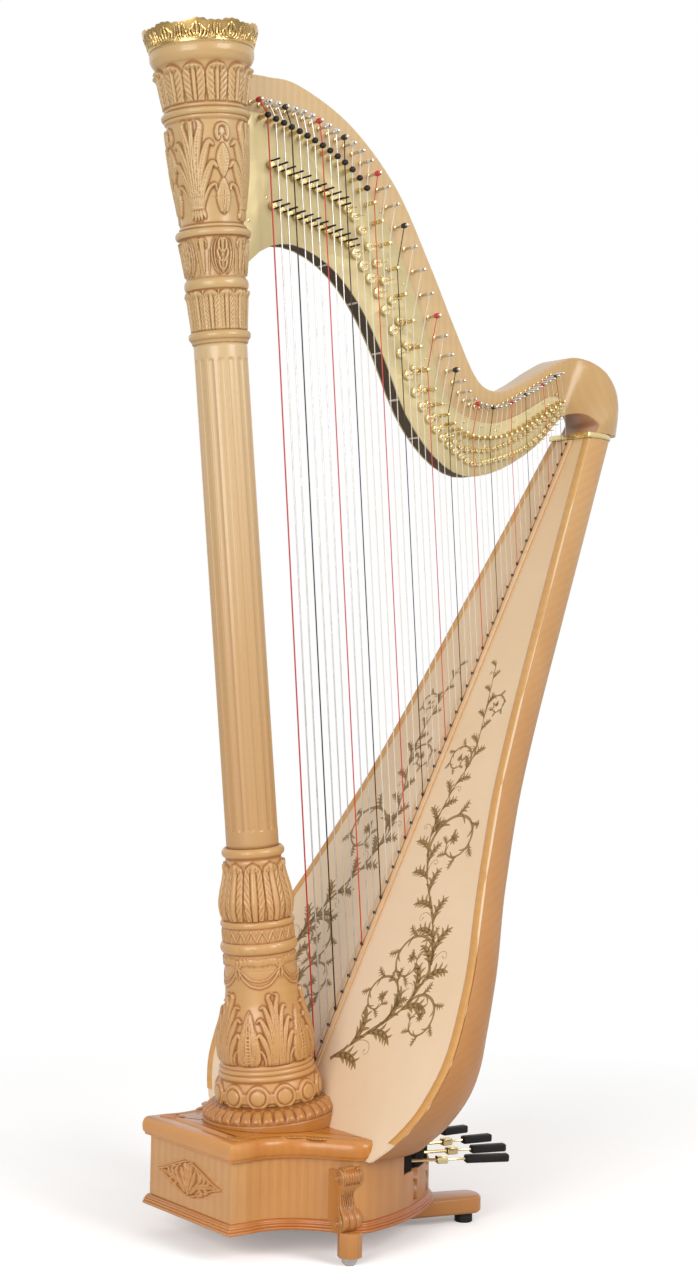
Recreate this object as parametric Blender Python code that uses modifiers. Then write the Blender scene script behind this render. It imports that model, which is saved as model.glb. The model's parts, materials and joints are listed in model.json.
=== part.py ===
"""A 47-string concert pedal harp, built as separate pieces in metres, +Z up.

The outlines are written from the foot of the column: x runs towards the player,
y to the player's right and z up from the floor. The empty "harp" carries all of it
and sets the origin under the middle of the harp. The column leans away from the
player, and its turned pieces are parented to the empty "column_axis".
"""

import bisect
import math

import bmesh
import bpy
from mathutils import Matrix, Vector

FIT = 0.0003  # gap left between pieces that touch
HARP_X = -0.224  # the column's foot, from the middle of the whole harp

# Column, turned about an axis that leans away from the player
LEAN = math.radians(5.93)
BORE_RADIUS = 0.0235
SHAFT_RADIUS = 0.041
DISC_RADIUS = 0.1038
DISC_TOP = 0.037  # heights up to CROWN_TOP are along the column's axis
SHAFT_FOOT = 0.4225
SHAFT_TOP = 1.185
CAPITAL_TOP = 1.625
CROWN_TOP = 1.660
CROWN_RADIUS = 0.0871
CROWN_WALL = 0.006
BORE_TOP = 1.58

# Base
PLINTH_Z = 0.0445  # underside of the plinth, above the floor
PLINTH_THICK = 0.016
PLINTH_OVERHANG = 0.008
CASING_TOP = 0.1497
CASING_WALL = 0.012
TOP_THICK = 0.0294
TOP_OVERHANG = 0.010
REAR_WALL_TOP = 0.112  # the casing's wall is lower behind, where the pedals come out
REAR_WALL_FROM = 0.13
FELT_INSET = 0.003
FELT_THICK = 0.006
FELT_OPEN_ABOVE = 0.009  # room in the felt over a pedal's arm
BASE_SIDE = [  # half of the base's plan, from its front corner round to the rear
    (-0.143, -0.1145), (-0.115, -0.1145), (-0.085, -0.113), (-0.045, -0.1255),
    (-0.012, -0.1546), (0.012, -0.184), (0.034, -0.199), (0.070, -0.193),
    (0.121, -0.1746), (0.171, -0.1465), (0.219, -0.112), (0.252, -0.072), (0.268, 0.0),
]
TOP_Z = CASING_TOP + FIT + TOP_THICK

# Feet
GLIDE_HEIGHT = 0.012
FOOT_X = 0.012
FOOT_Y = 0.197
FOOT_WIDTH = 0.034
REAR_FOOT_END = (0.342, 0.086)
REAR_FOOT_ROOT = (0.200, 0.052)
REAR_FOOT_WIDTH = 0.050
REAR_FOOT_THICK = 0.028
PAD_RADIUS = 0.013

# Soundbox: sections at heights above the floor, widths and depths behind the board
BOARD_FOOT_X = 0.045  # the board's front face, where it meets the base
BOARD_SLOPE = 0.495  # how far the board runs back for each metre of height
BOARD_THICK = 0.004
BODY_BOTTOM = 0.150
BODY_TOP = 1.2743
BODY_WALL = 0.005
BODY_ROUNDNESS = 2.4
BODY_ROWS = (0, 0.02, 0.045, 0.08, 0.135, 0.2, 0.275, 0.365, 0.49, 0.62, 0.755, 0.88, 1)
FLOOR_THICK = 0.0095
BRACE_THICK = 0.008
BAND_FORWARD = 0.008  # the band laps onto the board's edge
SLOT_ABOVE_STRINGS = 0.012
BOARD_SLOT_BELOW = 0.012
RIB_SLOT_BELOW = 0.004  # the strings lean, and meet the rib above the board
BODY_HALF_WIDTH = [
    (0.150, 0.215), (0.190, 0.262), (0.240, 0.293), (0.300, 0.305), (0.400, 0.286),
    (0.540, 0.230), (0.700, 0.173), (1.000, 0.104), (1.2743, 0.048),
]
BODY_DEPTH = [
    (0.150, 0.190), (0.240, 0.180), (0.335, 0.142), (0.540, 0.110), (1.060, 0.083),
    (1.2743, 0.067),
]
SOUND_HOLES = [(0.40, 0.034, 0.062), (0.60, 0.030, 0.052), (0.79, 0.025, 0.045),
               (0.97, 0.020, 0.038)]  # height, half width, half height
RIB_WIDTH = 0.024
RIB_THICK = 0.004
RIB_BOTTOM = 0.247
RIB_TOP = 1.272
SLOT_WIDTH = 0.0034
BAND_OVERHANG = 0.0015
BRACE_Z = 0.505
BRACE_WIDTH = 0.014

# Neck: outer and inner edge of each station, then its near and far faces
PLATE_FACE_Y = 0.022
PLATE_THICK = 0.0025
NECK_NEAR_Y = PLATE_FACE_Y + PLATE_THICK + FIT
NECK_THICK = 0.0267
NECK_FAR_Y = NECK_NEAR_Y + NECK_THICK
NECK_BOTTOM = BODY_TOP + 0.0102
CHANNEL_DEPTH = 0.005
NECK_STATIONS = [
    ((-0.098, 1.787), (-0.098, 1.452)), ((-0.030, 1.790), (-0.040, 1.515)),
    ((0.030, 1.787), (0.020, 1.534)), ((0.130, 1.742), (0.090, 1.512)),
    ((0.223, 1.657), (0.150, 1.459)), ((0.295, 1.543), (0.200, 1.384)),
    ((0.350, 1.445), (0.250, 1.290)), ((0.400, 1.364), (0.310, 1.226)),
    ((0.443, 1.346), (0.375, 1.198)), ((0.495, 1.364), (0.450, 1.214)),
    ((0.560, 1.399), (0.527, 1.259)), ((0.615, 1.421), (0.580, 1.310)),
    ((0.665, 1.412), (0.608, 1.322)), ((0.698, 1.372), (0.617, 1.308)),
    ((0.703, 1.330), (0.612, 1.296)), ((0.694, NECK_BOTTOM), (0.604, NECK_BOTTOM)),
]
SHOULDER_FROM = 11  # the station where the near face starts to flare out
SHOULDER_FLARE = [0.0, 0.35, 0.75, 0.96, 1.0]
HORN_FROM = 6  # the station where the outer edge starts to swell on the far side
HORN_SWELL = [0.0, 0.004, 0.009, 0.024, 0.038, 0.047, 0.046, 0.034, 0.018, 0.0]
SHOULDER_HALF_WIDTH = 0.048
PLATE_TOP = [
    (-0.098, 1.726), (0.000, 1.729), (0.065, 1.705), (0.128, 1.668), (0.182, 1.620),
    (0.232, 1.548), (0.275, 1.462), (0.322, 1.345), (0.360, 1.303), (0.408, 1.290),
    (0.456, 1.296), (0.515, 1.324), (0.556, 1.347), (0.583, 1.346), (0.594, 1.334),
]
FAR_PLATE_END = 0.405

# Strings: where each row of the action sits, by string number and height
STRINGS = 47
STRING_LEAN = math.radians(5.0)
FIRST_STRING_X = 0.0824
STRING_STEP = 0.01257
STRING_STEP_LOSS = 0.0000388
BRIDGE_ROW = [(0, 1.722), (5, 1.702), (10, 1.672), (13, 1.638), (15, 1.590), (17, 1.519),
              (19, 1.438), (21, 1.362), (23, 1.309), (26, 1.272), (29, 1.262), (33, 1.266),
              (38, 1.288), (42, 1.314), (46, 1.338)]
NATURAL_ROW = [(0, 1.656), (3, 1.644), (6, 1.630), (9, 1.618), (12, 1.594), (14, 1.550),
               (16, 1.499), (18, 1.438), (20, 1.364), (22, 1.310), (25, 1.262),
               (28, 1.242), (31, 1.243), (36, 1.262), (41, 1.294), (46, 1.330)]
SHARP_ROW = [(0, 1.592), (4, 1.578), (8, 1.564), (11, 1.549), (13, 1.518), (15, 1.479),
             (17, 1.422), (19, 1.353), (21, 1.304), (24, 1.257), (27, 1.230), (29, 1.220),
             (33, 1.230), (38, 1.250), (42, 1.278), (46, 1.318)]
PIN_ROW_Z = [(0, 1.743), (5, 1.737), (9, 1.718), (12, 1.695), (15, 1.645), (18, 1.557),
             (21, 1.452), (24, 1.368), (28, 1.317), (31, 1.314), (38, 1.342), (46, 1.385)]
PIN_ROW_X = [(0, -0.062), (14, 0.167), (21, 0.293), (28, 0.383), (35, 0.456), (46, 0.561)]
BASS_STRING_RADIUS = 0.0012
TREBLE_STRING_RADIUS = 0.0006
TUNING_PIN_RADIUS = 0.0025
TUNING_PIN_REACH = 0.010  # how far the pins stand past the plane of the strings
BRIDGE_PIN_RADIUS = 0.002
BRIDGE_PIN_REACH = 0.004
ANCHOR_BAR = (0.008, 0.004)

# Action: the discs of one octave, and the pedals and rods that turn them
NOTES = "cdefgab"
OCTAVE_START = 14  # string number of the octave's c
DISC_BODY_RADIUS = 0.0055
DISC_BACK_Y = PLATE_FACE_Y - FIT
DISC_THICK = 0.0065
SPINDLE_RADIUS = 0.0025
PRONG_RADIUS = 0.0011
PRONG_SPREAD = 0.0042
PRONG_REACH = 0.004  # past the string's plane
SPINDLE_ROOM = 0.0005
PEDALS = "dcbefga"  # from the player's left to right
FAN_X = -0.200  # the pedals' arms all point away from here
FAN_STEP = math.radians(7.2)
PIVOT_RADIUS = 0.270
PIVOT_Z = 0.100
PEDAL_Z = 0.125
PEDAL_REACH = 0.588
KNUCKLE_PAST_WALL = 0.036
ARM_RADIUS = 0.0027
ARM_END_SHARE = 0.72  # the arm is thinner where it lifts its rod
HUB_RADIUS = 0.006
HUB_LENGTH = 0.014
FORK_SIZE = (0.018, 0.013, 0.011)
FORK_LAP = 0.004  # the fork holds this much of the arm's end
FORK_SLOT = 0.005
FOLD_PIN_RADIUS = 0.0014
FOLD_PIN_FROM_END = 0.005
TONGUE_RADIUS = 0.0048
TONGUE_ROOM = 0.0007
TIP_SHARE = 0.714  # of the stem past the fork, covered by rubber
TIP_SECTION = (0.014, 0.012)
TIP_STEM_RADIUS = 0.0019
NOTCH_WIDTH = 0.012
NOTCH_UPPER_WIDTH = 0.017
NOTCH_STEP_Z = 0.094
NOTCH_BOTTOM = 0.066
ROD_RADIUS = 0.0015
ROD_SPACING = 0.0068
ROD_TOP = 1.56
ROD_LIFT = 0.0006

for leftover in list(bpy.data.objects):
    bpy.data.objects.remove(leftover, do_unlink=True)

HARP = bpy.data.collections.new("pedal_harp")
CUTTERS = bpy.data.collections.new("cutters")
for group in (HARP, CUTTERS):
    bpy.context.scene.collection.children.link(group)


# Materials

def material(name, colour, roughness, metallic=0.0):
    made = bpy.data.materials.new(name)
    made.use_nodes = True
    shader = made.node_tree.nodes["Principled BSDF"]
    shader.inputs["Base Color"].default_value = (*colour, 1.0)
    shader.inputs["Roughness"].default_value = roughness
    shader.inputs["Metallic"].default_value = metallic
    made.diffuse_color = (*colour, 1.0)
    return made


MAPLE = material("honey_maple", (0.62, 0.40, 0.20), 0.32)
CARVED = material("carved_maple", (0.60, 0.36, 0.16), 0.38)
SPRUCE = material("pale_spruce", (0.72, 0.56, 0.38), 0.40)
BRASS = material("champagne_brass", (0.74, 0.66, 0.42), 0.28, 1.0)
GILT = material("gilt", (0.85, 0.62, 0.20), 0.22, 1.0)
STEEL = material("steel", (0.55, 0.55, 0.56), 0.30, 1.0)
NYLON = material("string_gut", (0.80, 0.78, 0.72), 0.35)
FELT = material("black_felt", (0.02, 0.02, 0.02), 0.95)
RUBBER = material("black_rubber", (0.03, 0.03, 0.03), 0.70)
DARK = material("dark_channel", (0.08, 0.04, 0.02), 0.60)


# Frames of reference

def empty(name, parent=None, location=(0, 0, 0), rotation=(0, 0, 0)):
    made = bpy.data.objects.new(name, None)
    made.parent = parent
    made.location = location
    made.rotation_euler = rotation
    HARP.objects.link(made)
    return made


HARP_FRAME = empty("harp", location=(HARP_X, 0, 0))
COLUMN_AXIS = empty("column_axis", HARP_FRAME, (0, 0, TOP_Z), (0, -LEAN, 0))


def column_point(height, y=0.0):
    """A point on the column's axis, or beside it, in the harp's frame."""
    return Vector((-math.sin(LEAN) * height, y, TOP_Z + math.cos(LEAN) * height))


# Curves through points

def smooth(points, per_span=4):
    """A smooth line through the points, with per_span steps between two of them."""
    line = []
    last = len(points) - 1
    for i in range(last):
        before = Vector(points[max(i - 1, 0)])
        start, end = Vector(points[i]), Vector(points[i + 1])
        after = Vector(points[min(i + 2, last)])
        for step in range(per_span):
            t = step / per_span
            line.append(0.5 * ((2 * start) + (end - before) * t
                        + (2 * before - 5 * start + 4 * end - after) * t * t
                        + (3 * start - before - 3 * end + after) * t ** 3))
    line.append(Vector(points[last]))
    return line


def value_at(table, place):
    """A smooth value between the rows of a table of (place, value)."""
    places = [row[0] for row in table]
    place = min(max(place, places[0]), places[-1])
    i = min(bisect.bisect_right(places, place), len(places) - 1)
    x0, y0 = table[i - 1]
    x1, y1 = table[i]
    span = x1 - x0
    slope0 = slope_at(table, i - 1)
    slope1 = slope_at(table, i)
    t = (place - x0) / span
    return ((2 * t ** 3 - 3 * t * t + 1) * y0 + (t ** 3 - 2 * t * t + t) * span * slope0
            + (3 * t * t - 2 * t ** 3) * y1 + (t ** 3 - t * t) * span * slope1)


def slope_at(table, i):
    """The slope at a row: the gentler of its two sides, so the line doesn't overshoot."""
    sides = [(table[j + 1][1] - table[j][1]) / (table[j + 1][0] - table[j][0])
             for j in (i - 1, i) if 0 <= j < len(table) - 1]
    if len(sides) == 1:
        return sides[0]
    if sides[0] * sides[1] <= 0:
        return 0.0
    return 2 * sides[0] * sides[1] / (sides[0] + sides[1])


def grown(outline, distance):
    """A closed outline moved outwards by a distance, corner by corner."""
    count = len(outline)
    area = sum(outline[i - 1][0] * outline[i][1] - outline[i][0] * outline[i - 1][1]
               for i in range(count))
    side = 1.0 if area > 0 else -1.0
    moved = []
    for i in range(count):
        before, here, after = (Vector(outline[j]) for j in (i - 1, i, (i + 1) % count))
        first = (here - before).normalized()
        second = (after - here).normalized()
        out_first = Vector((first.y, -first.x)) * side
        out_second = Vector((second.y, -second.x)) * side
        middle = (out_first + out_second).normalized()
        moved.append(here + middle * distance / max(middle.dot(out_first), 0.5))
    return moved


# Making meshes

def finish(name, mesh, matter, parent=HARP_FRAME, location=(0, 0, 0), rotation=(0, 0, 0),
           group=HARP, sharp=35):
    mesh.name = name
    mesh.materials.clear()
    mesh.materials.append(matter)
    made = bpy.data.objects.new(name, mesh)
    made.parent = parent
    made.location = location
    made.rotation_euler = rotation
    group.objects.link(made)
    mesh.shade_smooth()
    mesh.set_sharp_from_angle(angle=math.radians(sharp))
    return made


def cutter(name, mesh, parent=HARP_FRAME, location=(0, 0, 0), rotation=(0, 0, 0)):
    made = finish(name, mesh, MAPLE, parent, location, rotation, CUTTERS)
    made.hide_render = True
    made.display_type = "WIRE"
    return made


def boolean(piece, tool, operation):
    change = piece.modifiers.new(tool.name, "BOOLEAN")
    change.operation = operation
    change.object = tool
    change.solver = "EXACT"


def mesh_from(bm, name="mesh"):
    made = bpy.data.meshes.new(name)
    bm.to_mesh(made)
    bm.free()
    return made


def box_mesh(size, centre=(0, 0, 0), bevel=0.0):
    bm = bmesh.new()
    bmesh.ops.create_cube(bm, size=1.0, matrix=Matrix.Translation(centre)
                          @ Matrix.Diagonal((*size, 1.0)))
    if bevel:
        bmesh.ops.bevel(bm, geom=bm.edges[:], offset=bevel, segments=1, affect="EDGES")
    return mesh_from(bm)


def rod_mesh(ends, radius, sides=12, taper=1.0):
    """A round bar from one end to the other; taper is its end's share of the radius."""
    start, end = Vector(ends[0]), Vector(ends[1])
    along = end - start
    turn = Vector((0, 0, 1)).rotation_difference(along).to_matrix().to_4x4()
    bm = bmesh.new()
    bmesh.ops.create_cone(bm, cap_ends=True, segments=sides, radius1=radius,
                          radius2=radius * taper, depth=along.length,
                          matrix=Matrix.Translation((start + end) / 2) @ turn)
    return mesh_from(bm)


def joined_mesh(meshes):
    bm = bmesh.new()
    for part in meshes:
        bm.from_mesh(part)
        bpy.data.meshes.remove(part)
    return mesh_from(bm)


def curve_mesh(curve):
    """A curve's mesh with its caps welded to its sides."""
    holder = bpy.data.objects.new("curve", curve)
    CUTTERS.objects.link(holder)
    evaluated = holder.evaluated_get(bpy.context.evaluated_depsgraph_get())
    made = bpy.data.meshes.new_from_object(evaluated)
    bpy.data.objects.remove(holder)
    bpy.data.curves.remove(curve)
    bm = bmesh.new()
    bm.from_mesh(made)
    bmesh.ops.remove_doubles(bm, verts=bm.verts, dist=0.00001)
    bmesh.ops.recalc_face_normals(bm, faces=bm.faces)
    bm.to_mesh(made)
    bm.free()
    return made


def slab_mesh(outlines, low, high, bevel=0.0):
    """A flat outline, with any holes in it, given thickness from low to high along Z."""
    curve = bpy.data.curves.new("slab", "CURVE")
    curve.dimensions = "2D"
    curve.fill_mode = "BOTH"
    curve.extrude = (high - low) / 2 - bevel
    curve.bevel_depth = bevel
    curve.bevel_resolution = 0
    for outline in outlines:
        spline = curve.splines.new("POLY")
        spline.points.add(len(outline) - 1)
        for point, place in zip(spline.points, outline):
            point.co = (place[0], place[1], 0.0, 1.0)
        spline.use_cyclic_u = True
    made = curve_mesh(curve)
    made.transform(Matrix.Translation((0, 0, (low + high) / 2)))
    return made


def upright_slab_mesh(outline, near_y, far_y, holes=()):
    """A flat piece that stands in the plane of the strings: x and z, from near to far."""
    made = slab_mesh([outline, *holes], -far_y, -near_y)
    made.transform(Matrix.Rotation(math.radians(90), 4, "X"))
    return made


def wire_mesh(points, radius, resolution=1, first_share=1.0):
    """A round wire through points; first_share is its radius there, as a share."""
    curve = bpy.data.curves.new("wire", "CURVE")
    curve.dimensions = "3D"
    curve.bevel_depth = radius
    curve.bevel_resolution = resolution
    curve.use_fill_caps = True
    spline = curve.splines.new("POLY")
    spline.points.add(len(points) - 1)
    for point, place in zip(spline.points, points):
        point.co = (*place, 1.0)
    spline.points[0].radius = first_share
    return curve_mesh(curve)


def turned(name, profile, matter, steps=32, parent=COLUMN_AXIS):
    """A turned piece: its profile runs down the outside and up the bore."""
    bm = bmesh.new()
    rows = [bm.verts.new((radius, 0.0, height)) for radius, height in profile]
    for first, second in zip(rows, rows[1:]):
        bm.edges.new((first, second))
    if profile[0][0] > 0:
        bm.edges.new((rows[-1], rows[0]))
    piece = finish(name, mesh_from(bm), matter, parent)
    screw = piece.modifiers.new("turn", "SCREW")
    screw.steps = screw.render_steps = steps
    screw.use_merge_vertices = True
    screw.merge_threshold = 0.00001
    screw.use_smooth_shade = True
    return piece


def bored(outside, bottom, top, radius=BORE_RADIUS):
    """A turned profile with a straight bore: the outside, then up the inside."""
    return [*outside, (radius, bottom), (radius, top)]


def loft_mesh(sections, cap=True):
    """A closed skin through rings of points, capped at both ends."""
    bm = bmesh.new()
    rings = [[bm.verts.new(point) for point in ring] for ring in sections]
    count = len(rings[0])
    for low, high in zip(rings, rings[1:]):
        for i in range(count):
            j = (i + 1) % count
            bm.faces.new((low[i], low[j], high[j], high[i]))
    if cap:
        bm.faces.new(reversed(rings[0]))
        bm.faces.new(rings[-1])
    bmesh.ops.recalc_face_normals(bm, faces=bm.faces)
    return mesh_from(bm)


# The base

def base_outline(overhang=0.0):
    """The base's plan, symmetric about the strings, grown by an overhang."""
    front = BASE_SIDE[0]
    side = [Vector(front), *smooth(BASE_SIDE[1:], 2)]
    mirrored = [Vector((p.x, -p.y)) for p in reversed(side[:-1])]
    return grown([*side, *mirrored], overhang)


def casing_radius(angle, inset=0.0):
    """How far the casing's outside is from the middle of the pedals' fan."""
    outline = base_outline(-inset)
    start = Vector((FAN_X, 0.0))
    way = Vector((math.cos(angle), math.sin(angle)))
    hits = []
    for i, here in enumerate(outline):
        edge = here - outline[i - 1]
        cross = way.x * edge.y - way.y * edge.x
        if abs(cross) < 1e-9:
            continue
        gap = outline[i - 1] - start
        along = (gap.x * edge.y - gap.y * edge.x) / cross
        share = (gap.x * way.y - gap.y * way.x) / cross
        if 0 <= share <= 1 and along > 0:
            hits.append(along)
    return max(hits)


def fan_point(angle, radius, z):
    return Vector((FAN_X + radius * math.cos(angle), radius * math.sin(angle), z))


def fan_box(name, angle, radius, size, z):
    """A box along a pedal's arm, for cutting its slot."""
    return cutter(name, box_mesh(size), location=fan_point(angle, radius, z),
                  rotation=(0, 0, angle))


def pedal_angle(index):
    return (index - (len(PEDALS) - 1) / 2) * FAN_STEP


def make_base():
    plinth_top = PLINTH_Z + PLINTH_THICK
    plinth = finish("base_plinth", slab_mesh([base_outline(PLINTH_OVERHANG)], PLINTH_Z,
                                             plinth_top, bevel=0.004), MAPLE)
    casing = finish("base_casing", slab_mesh([base_outline(), base_outline(-CASING_WALL)],
                                             plinth_top + FIT, CASING_TOP), MAPLE)
    top = finish("base_top", slab_mesh([base_outline(TOP_OVERHANG)], CASING_TOP + FIT,
                                       TOP_Z - FIT, bevel=0.005), CARVED)
    boolean(top, board_side_cutter("behind_board", -FIT, 1), "DIFFERENCE")
    boolean(top, column_bore_cutter(), "DIFFERENCE")
    felt_out, felt_in = base_outline(-FELT_INSET), base_outline(-FELT_INSET - FELT_THICK)
    felt = finish("pedal_felt", slab_mesh([felt_out, felt_in], REAR_WALL_TOP + FIT,
                                          CASING_TOP - FIT), FELT)
    rear_size = (2 * PLINTH_OVERHANG + PEDAL_REACH, PEDAL_REACH, CASING_TOP)
    rear_centre = (REAR_WALL_FROM + rear_size[0] / 2, 0, REAR_WALL_TOP + rear_size[2] / 2)
    rear = cutter("rear_wall_cut", box_mesh(rear_size, rear_centre))
    boolean(casing, rear, "DIFFERENCE")
    front_centre = (REAR_WALL_FROM + FIT - rear_size[0] / 2, 0, rear_centre[2])
    boolean(felt, cutter("felt_front_cut", box_mesh(rear_size, front_centre)), "DIFFERENCE")
    for index, note in enumerate(PEDALS):
        angle = pedal_angle(index)
        wall = casing_radius(angle, CASING_WALL / 2)
        depth = 0.05
        lower = fan_box(f"notch_{note}", angle, wall, (depth, NOTCH_WIDTH, 0.2),
                        NOTCH_BOTTOM + 0.1)
        upper = fan_box(f"notch_{note}_upper", angle, wall,
                        (depth, NOTCH_UPPER_WIDTH, 0.2), NOTCH_STEP_Z + 0.1)
        boolean(casing, lower, "DIFFERENCE")
        boolean(casing, upper, "DIFFERENCE")
        room = PEDAL_Z + FELT_OPEN_ABOVE - REAR_WALL_TOP
        boolean(felt, fan_box(f"felt_opening_{note}", angle, wall,
                              (depth, NOTCH_WIDTH, 2 * room), REAR_WALL_TOP), "DIFFERENCE")
    for side, sign in (("left", -1), ("right", 1)):
        make_scroll_foot(side, sign, plinth)
        make_rear_foot(side, sign)
    make_pedal_rail(plinth_top)


def board_side_cutter(name, face, side):
    """All that lies behind (side 1) or before (side -1) a depth from the board's face."""
    size = (0.6, 0.9, 2.8)
    middle = board_point(BODY_BOTTOM, face + side * size[0] / 2)
    return cutter(name, box_mesh(size), location=middle,
                  rotation=(0, math.atan(BOARD_SLOPE), 0))


def column_bore_cutter():
    return cutter("column_bore", rod_mesh(((0, 0, -0.1), (0, 0, 0.1)), BORE_RADIUS, 20),
                  COLUMN_AXIS)


FOOT_PROFILE = [  # a scroll bracket from its top down: reach past the wall, height
    (0.002, 0.136), (0.012, 0.139), (0.019, 0.130), (0.020, 0.119), (0.014, 0.108),
    (0.009, 0.094), (0.011, 0.080), (0.018, 0.069), (0.020, 0.056), (0.014, 0.045),
]


def make_scroll_foot(side, sign, plinth):
    """A scroll bracket on the base's side, over an eight-sided block and a glide."""
    wall = FOOT_Y - FOOT_WIDTH / 2
    inner = -0.055
    outline = [(wall + inner, FOOT_PROFILE[0][1])]
    outline += [(wall + reach, height) for reach, height in FOOT_PROFILE]
    outline += [(wall + inner, FOOT_PROFILE[-1][1])]
    scroll = slab_mesh([smooth(outline[1:-1], 2) + [outline[-1], outline[0]]],
                       FOOT_X - FOOT_WIDTH / 2, FOOT_X + FOOT_WIDTH / 2)
    scroll.transform(Matrix(((0, 0, 1, 0), (sign, 0, 0, 0), (0, 1, 0, 0), (0, 0, 0, 1))))
    bm = bmesh.new()
    bm.from_mesh(scroll)
    bmesh.ops.recalc_face_normals(bm, faces=bm.faces)
    bm.to_mesh(scroll)
    bm.free()
    piece = finish(f"scroll_foot_{side}", scroll, CARVED)
    base = cutter(f"base_beside_{side}_foot", slab_mesh([base_outline(FIT)],
                                                        PLINTH_Z + FIT, TOP_Z))
    boolean(piece, base, "DIFFERENCE")
    place = (FOOT_X, sign * FOOT_Y)
    block = cutter(f"{side}_foot_block", rod_mesh(
        ((*place, GLIDE_HEIGHT), (*place, PLINTH_Z + 0.004)), FOOT_WIDTH * 0.54, 8))
    boolean(piece, block, "UNION")
    glide = cutter(f"{side}_glide", rod_mesh(
        ((*place, 0.0), (*place, GLIDE_HEIGHT + 0.002)), 0.007, 12, taper=1.5))
    boolean(piece, glide, "UNION")
    room = FOOT_WIDTH + 2 * FIT
    seat = box_mesh((room, FOOT_Y, FOOT_Y),
                    (FOOT_X, sign * (wall + FOOT_Y / 4), PLINTH_Z + FOOT_Y / 2 - FOOT_WIDTH / 2))
    seat_cut = cutter(f"{side}_foot_seat", seat)
    outside = cutter(f"outside_{side}", slab_mesh([base_outline()], 0.0, CASING_TOP))
    boolean(seat_cut, outside, "DIFFERENCE")
    boolean(plinth, seat_cut, "DIFFERENCE")
    under = cutter(f"{side}_foot_underside", rod_mesh(
        ((*place, 0.0), (*place, PLINTH_Z + 0.004 + FIT)), FOOT_WIDTH * 0.54 + FIT, 8))
    boolean(plinth, under, "DIFFERENCE")


def make_rear_foot(side, sign):
    """A flat toe that runs out under the plinth's rear, on a round pad."""
    root = Vector((REAR_FOOT_ROOT[0], sign * REAR_FOOT_ROOT[1]))
    end = Vector((REAR_FOOT_END[0], sign * REAR_FOOT_END[1]))
    along = (end - root).normalized()
    across = Vector((-along.y, along.x)) * REAR_FOOT_WIDTH / 2
    outline = [root - across]
    for step in range(9):
        turn = math.radians(-90 + 180 * step / 8)
        outline.append(end + across * math.sin(turn) * 0.82
                       + along * REAR_FOOT_WIDTH * 0.28 * (math.cos(turn) - 1))
    outline.append(root + across)
    high = PLINTH_Z - FIT
    toe = slab_mesh([outline], high - REAR_FOOT_THICK, high, bevel=0.004)
    piece = finish(f"rear_foot_{side}", toe, MAPLE)
    pad_place = end - along * REAR_FOOT_WIDTH * 0.45
    pad = cutter(f"{side}_rear_pad", rod_mesh(
        ((*pad_place, 0.0), (*pad_place, high - REAR_FOOT_THICK / 2)), PAD_RADIUS, 16))
    boolean(piece, pad, "UNION")


def make_pedal_rail(floor):
    """The curved wooden bar inside the base that the pedals' hubs ride on."""
    half = FAN_STEP * (len(PEDALS) - 1) / 2 + math.radians(3.5)
    steps = 10
    ring = []
    for radius, order in ((PIVOT_RADIUS + 0.009, 1), (PIVOT_RADIUS - 0.009, -1)):
        turns = [half * (2 * step / steps - 1) * order for step in range(steps + 1)]
        ring += [fan_point(turn, radius, 0).xy for turn in turns]
    top = PIVOT_Z - HUB_RADIUS - FIT
    finish("pedal_rail", slab_mesh([ring], floor + FIT, top), MAPLE)


# The soundbox

def board_normal():
    """The way from the soundboard's front face into the soundbox."""
    return Vector((1, 0, -BOARD_SLOPE)).normalized()


def board_x(z):
    return BOARD_FOOT_X + BOARD_SLOPE * (z - TOP_Z)


def board_point(z, depth=0.0, y=0.0):
    """A point of the board's front face at a height, moved into the soundbox."""
    return Vector((board_x(z), y, z)) + board_normal() * depth


def board_slab(name, outlines, front, back, matter):
    """A flat piece in the board's plane; its outline gives y and height."""
    upright = math.sqrt(1 + BOARD_SLOPE ** 2)
    flat = [[(y, (z - BODY_BOTTOM) * upright) for y, z in outline] for outline in outlines]
    mesh = slab_mesh(flat, front, back)
    angle = math.atan(BOARD_SLOPE)
    axes = Matrix(((0, math.sin(angle), math.cos(angle)), (1, 0, 0),
                   (0, math.cos(angle), -math.sin(angle))))
    mesh.transform(Matrix.Translation(board_point(BODY_BOTTOM)) @ axes.to_4x4())
    return finish(name, mesh, matter)


def body_section(z, inset=0.0, steps=14):
    """Half of a rounded section of the soundbox, from its left edge to its right."""
    front = board_x(z) + (BOARD_THICK + FIT) * math.sqrt(1 + BOARD_SLOPE ** 2)
    width = value_at(BODY_HALF_WIDTH, z) - inset
    depth = value_at(BODY_DEPTH, z) - inset
    power = 2 / BODY_ROUNDNESS
    points = []
    for step in range(steps + 1):
        turn = math.pi * (step / steps - 0.5)
        y = math.copysign(abs(math.sin(turn)) ** power, turn) * width
        points.append(Vector((front + max(math.cos(turn), 0.0) ** power * depth, y, z)))
    return points


def string_slot(below):
    """The outline, in the board's plane, of a slot that lets every string through."""
    low = string_hole(0).z - below
    high = string_hole(STRINGS - 1).z + SLOT_ABOVE_STRINGS
    return [(SLOT_WIDTH / 2 * y, z) for y, z in ((-1, low), (1, low), (1, high), (-1, high))]


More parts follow.
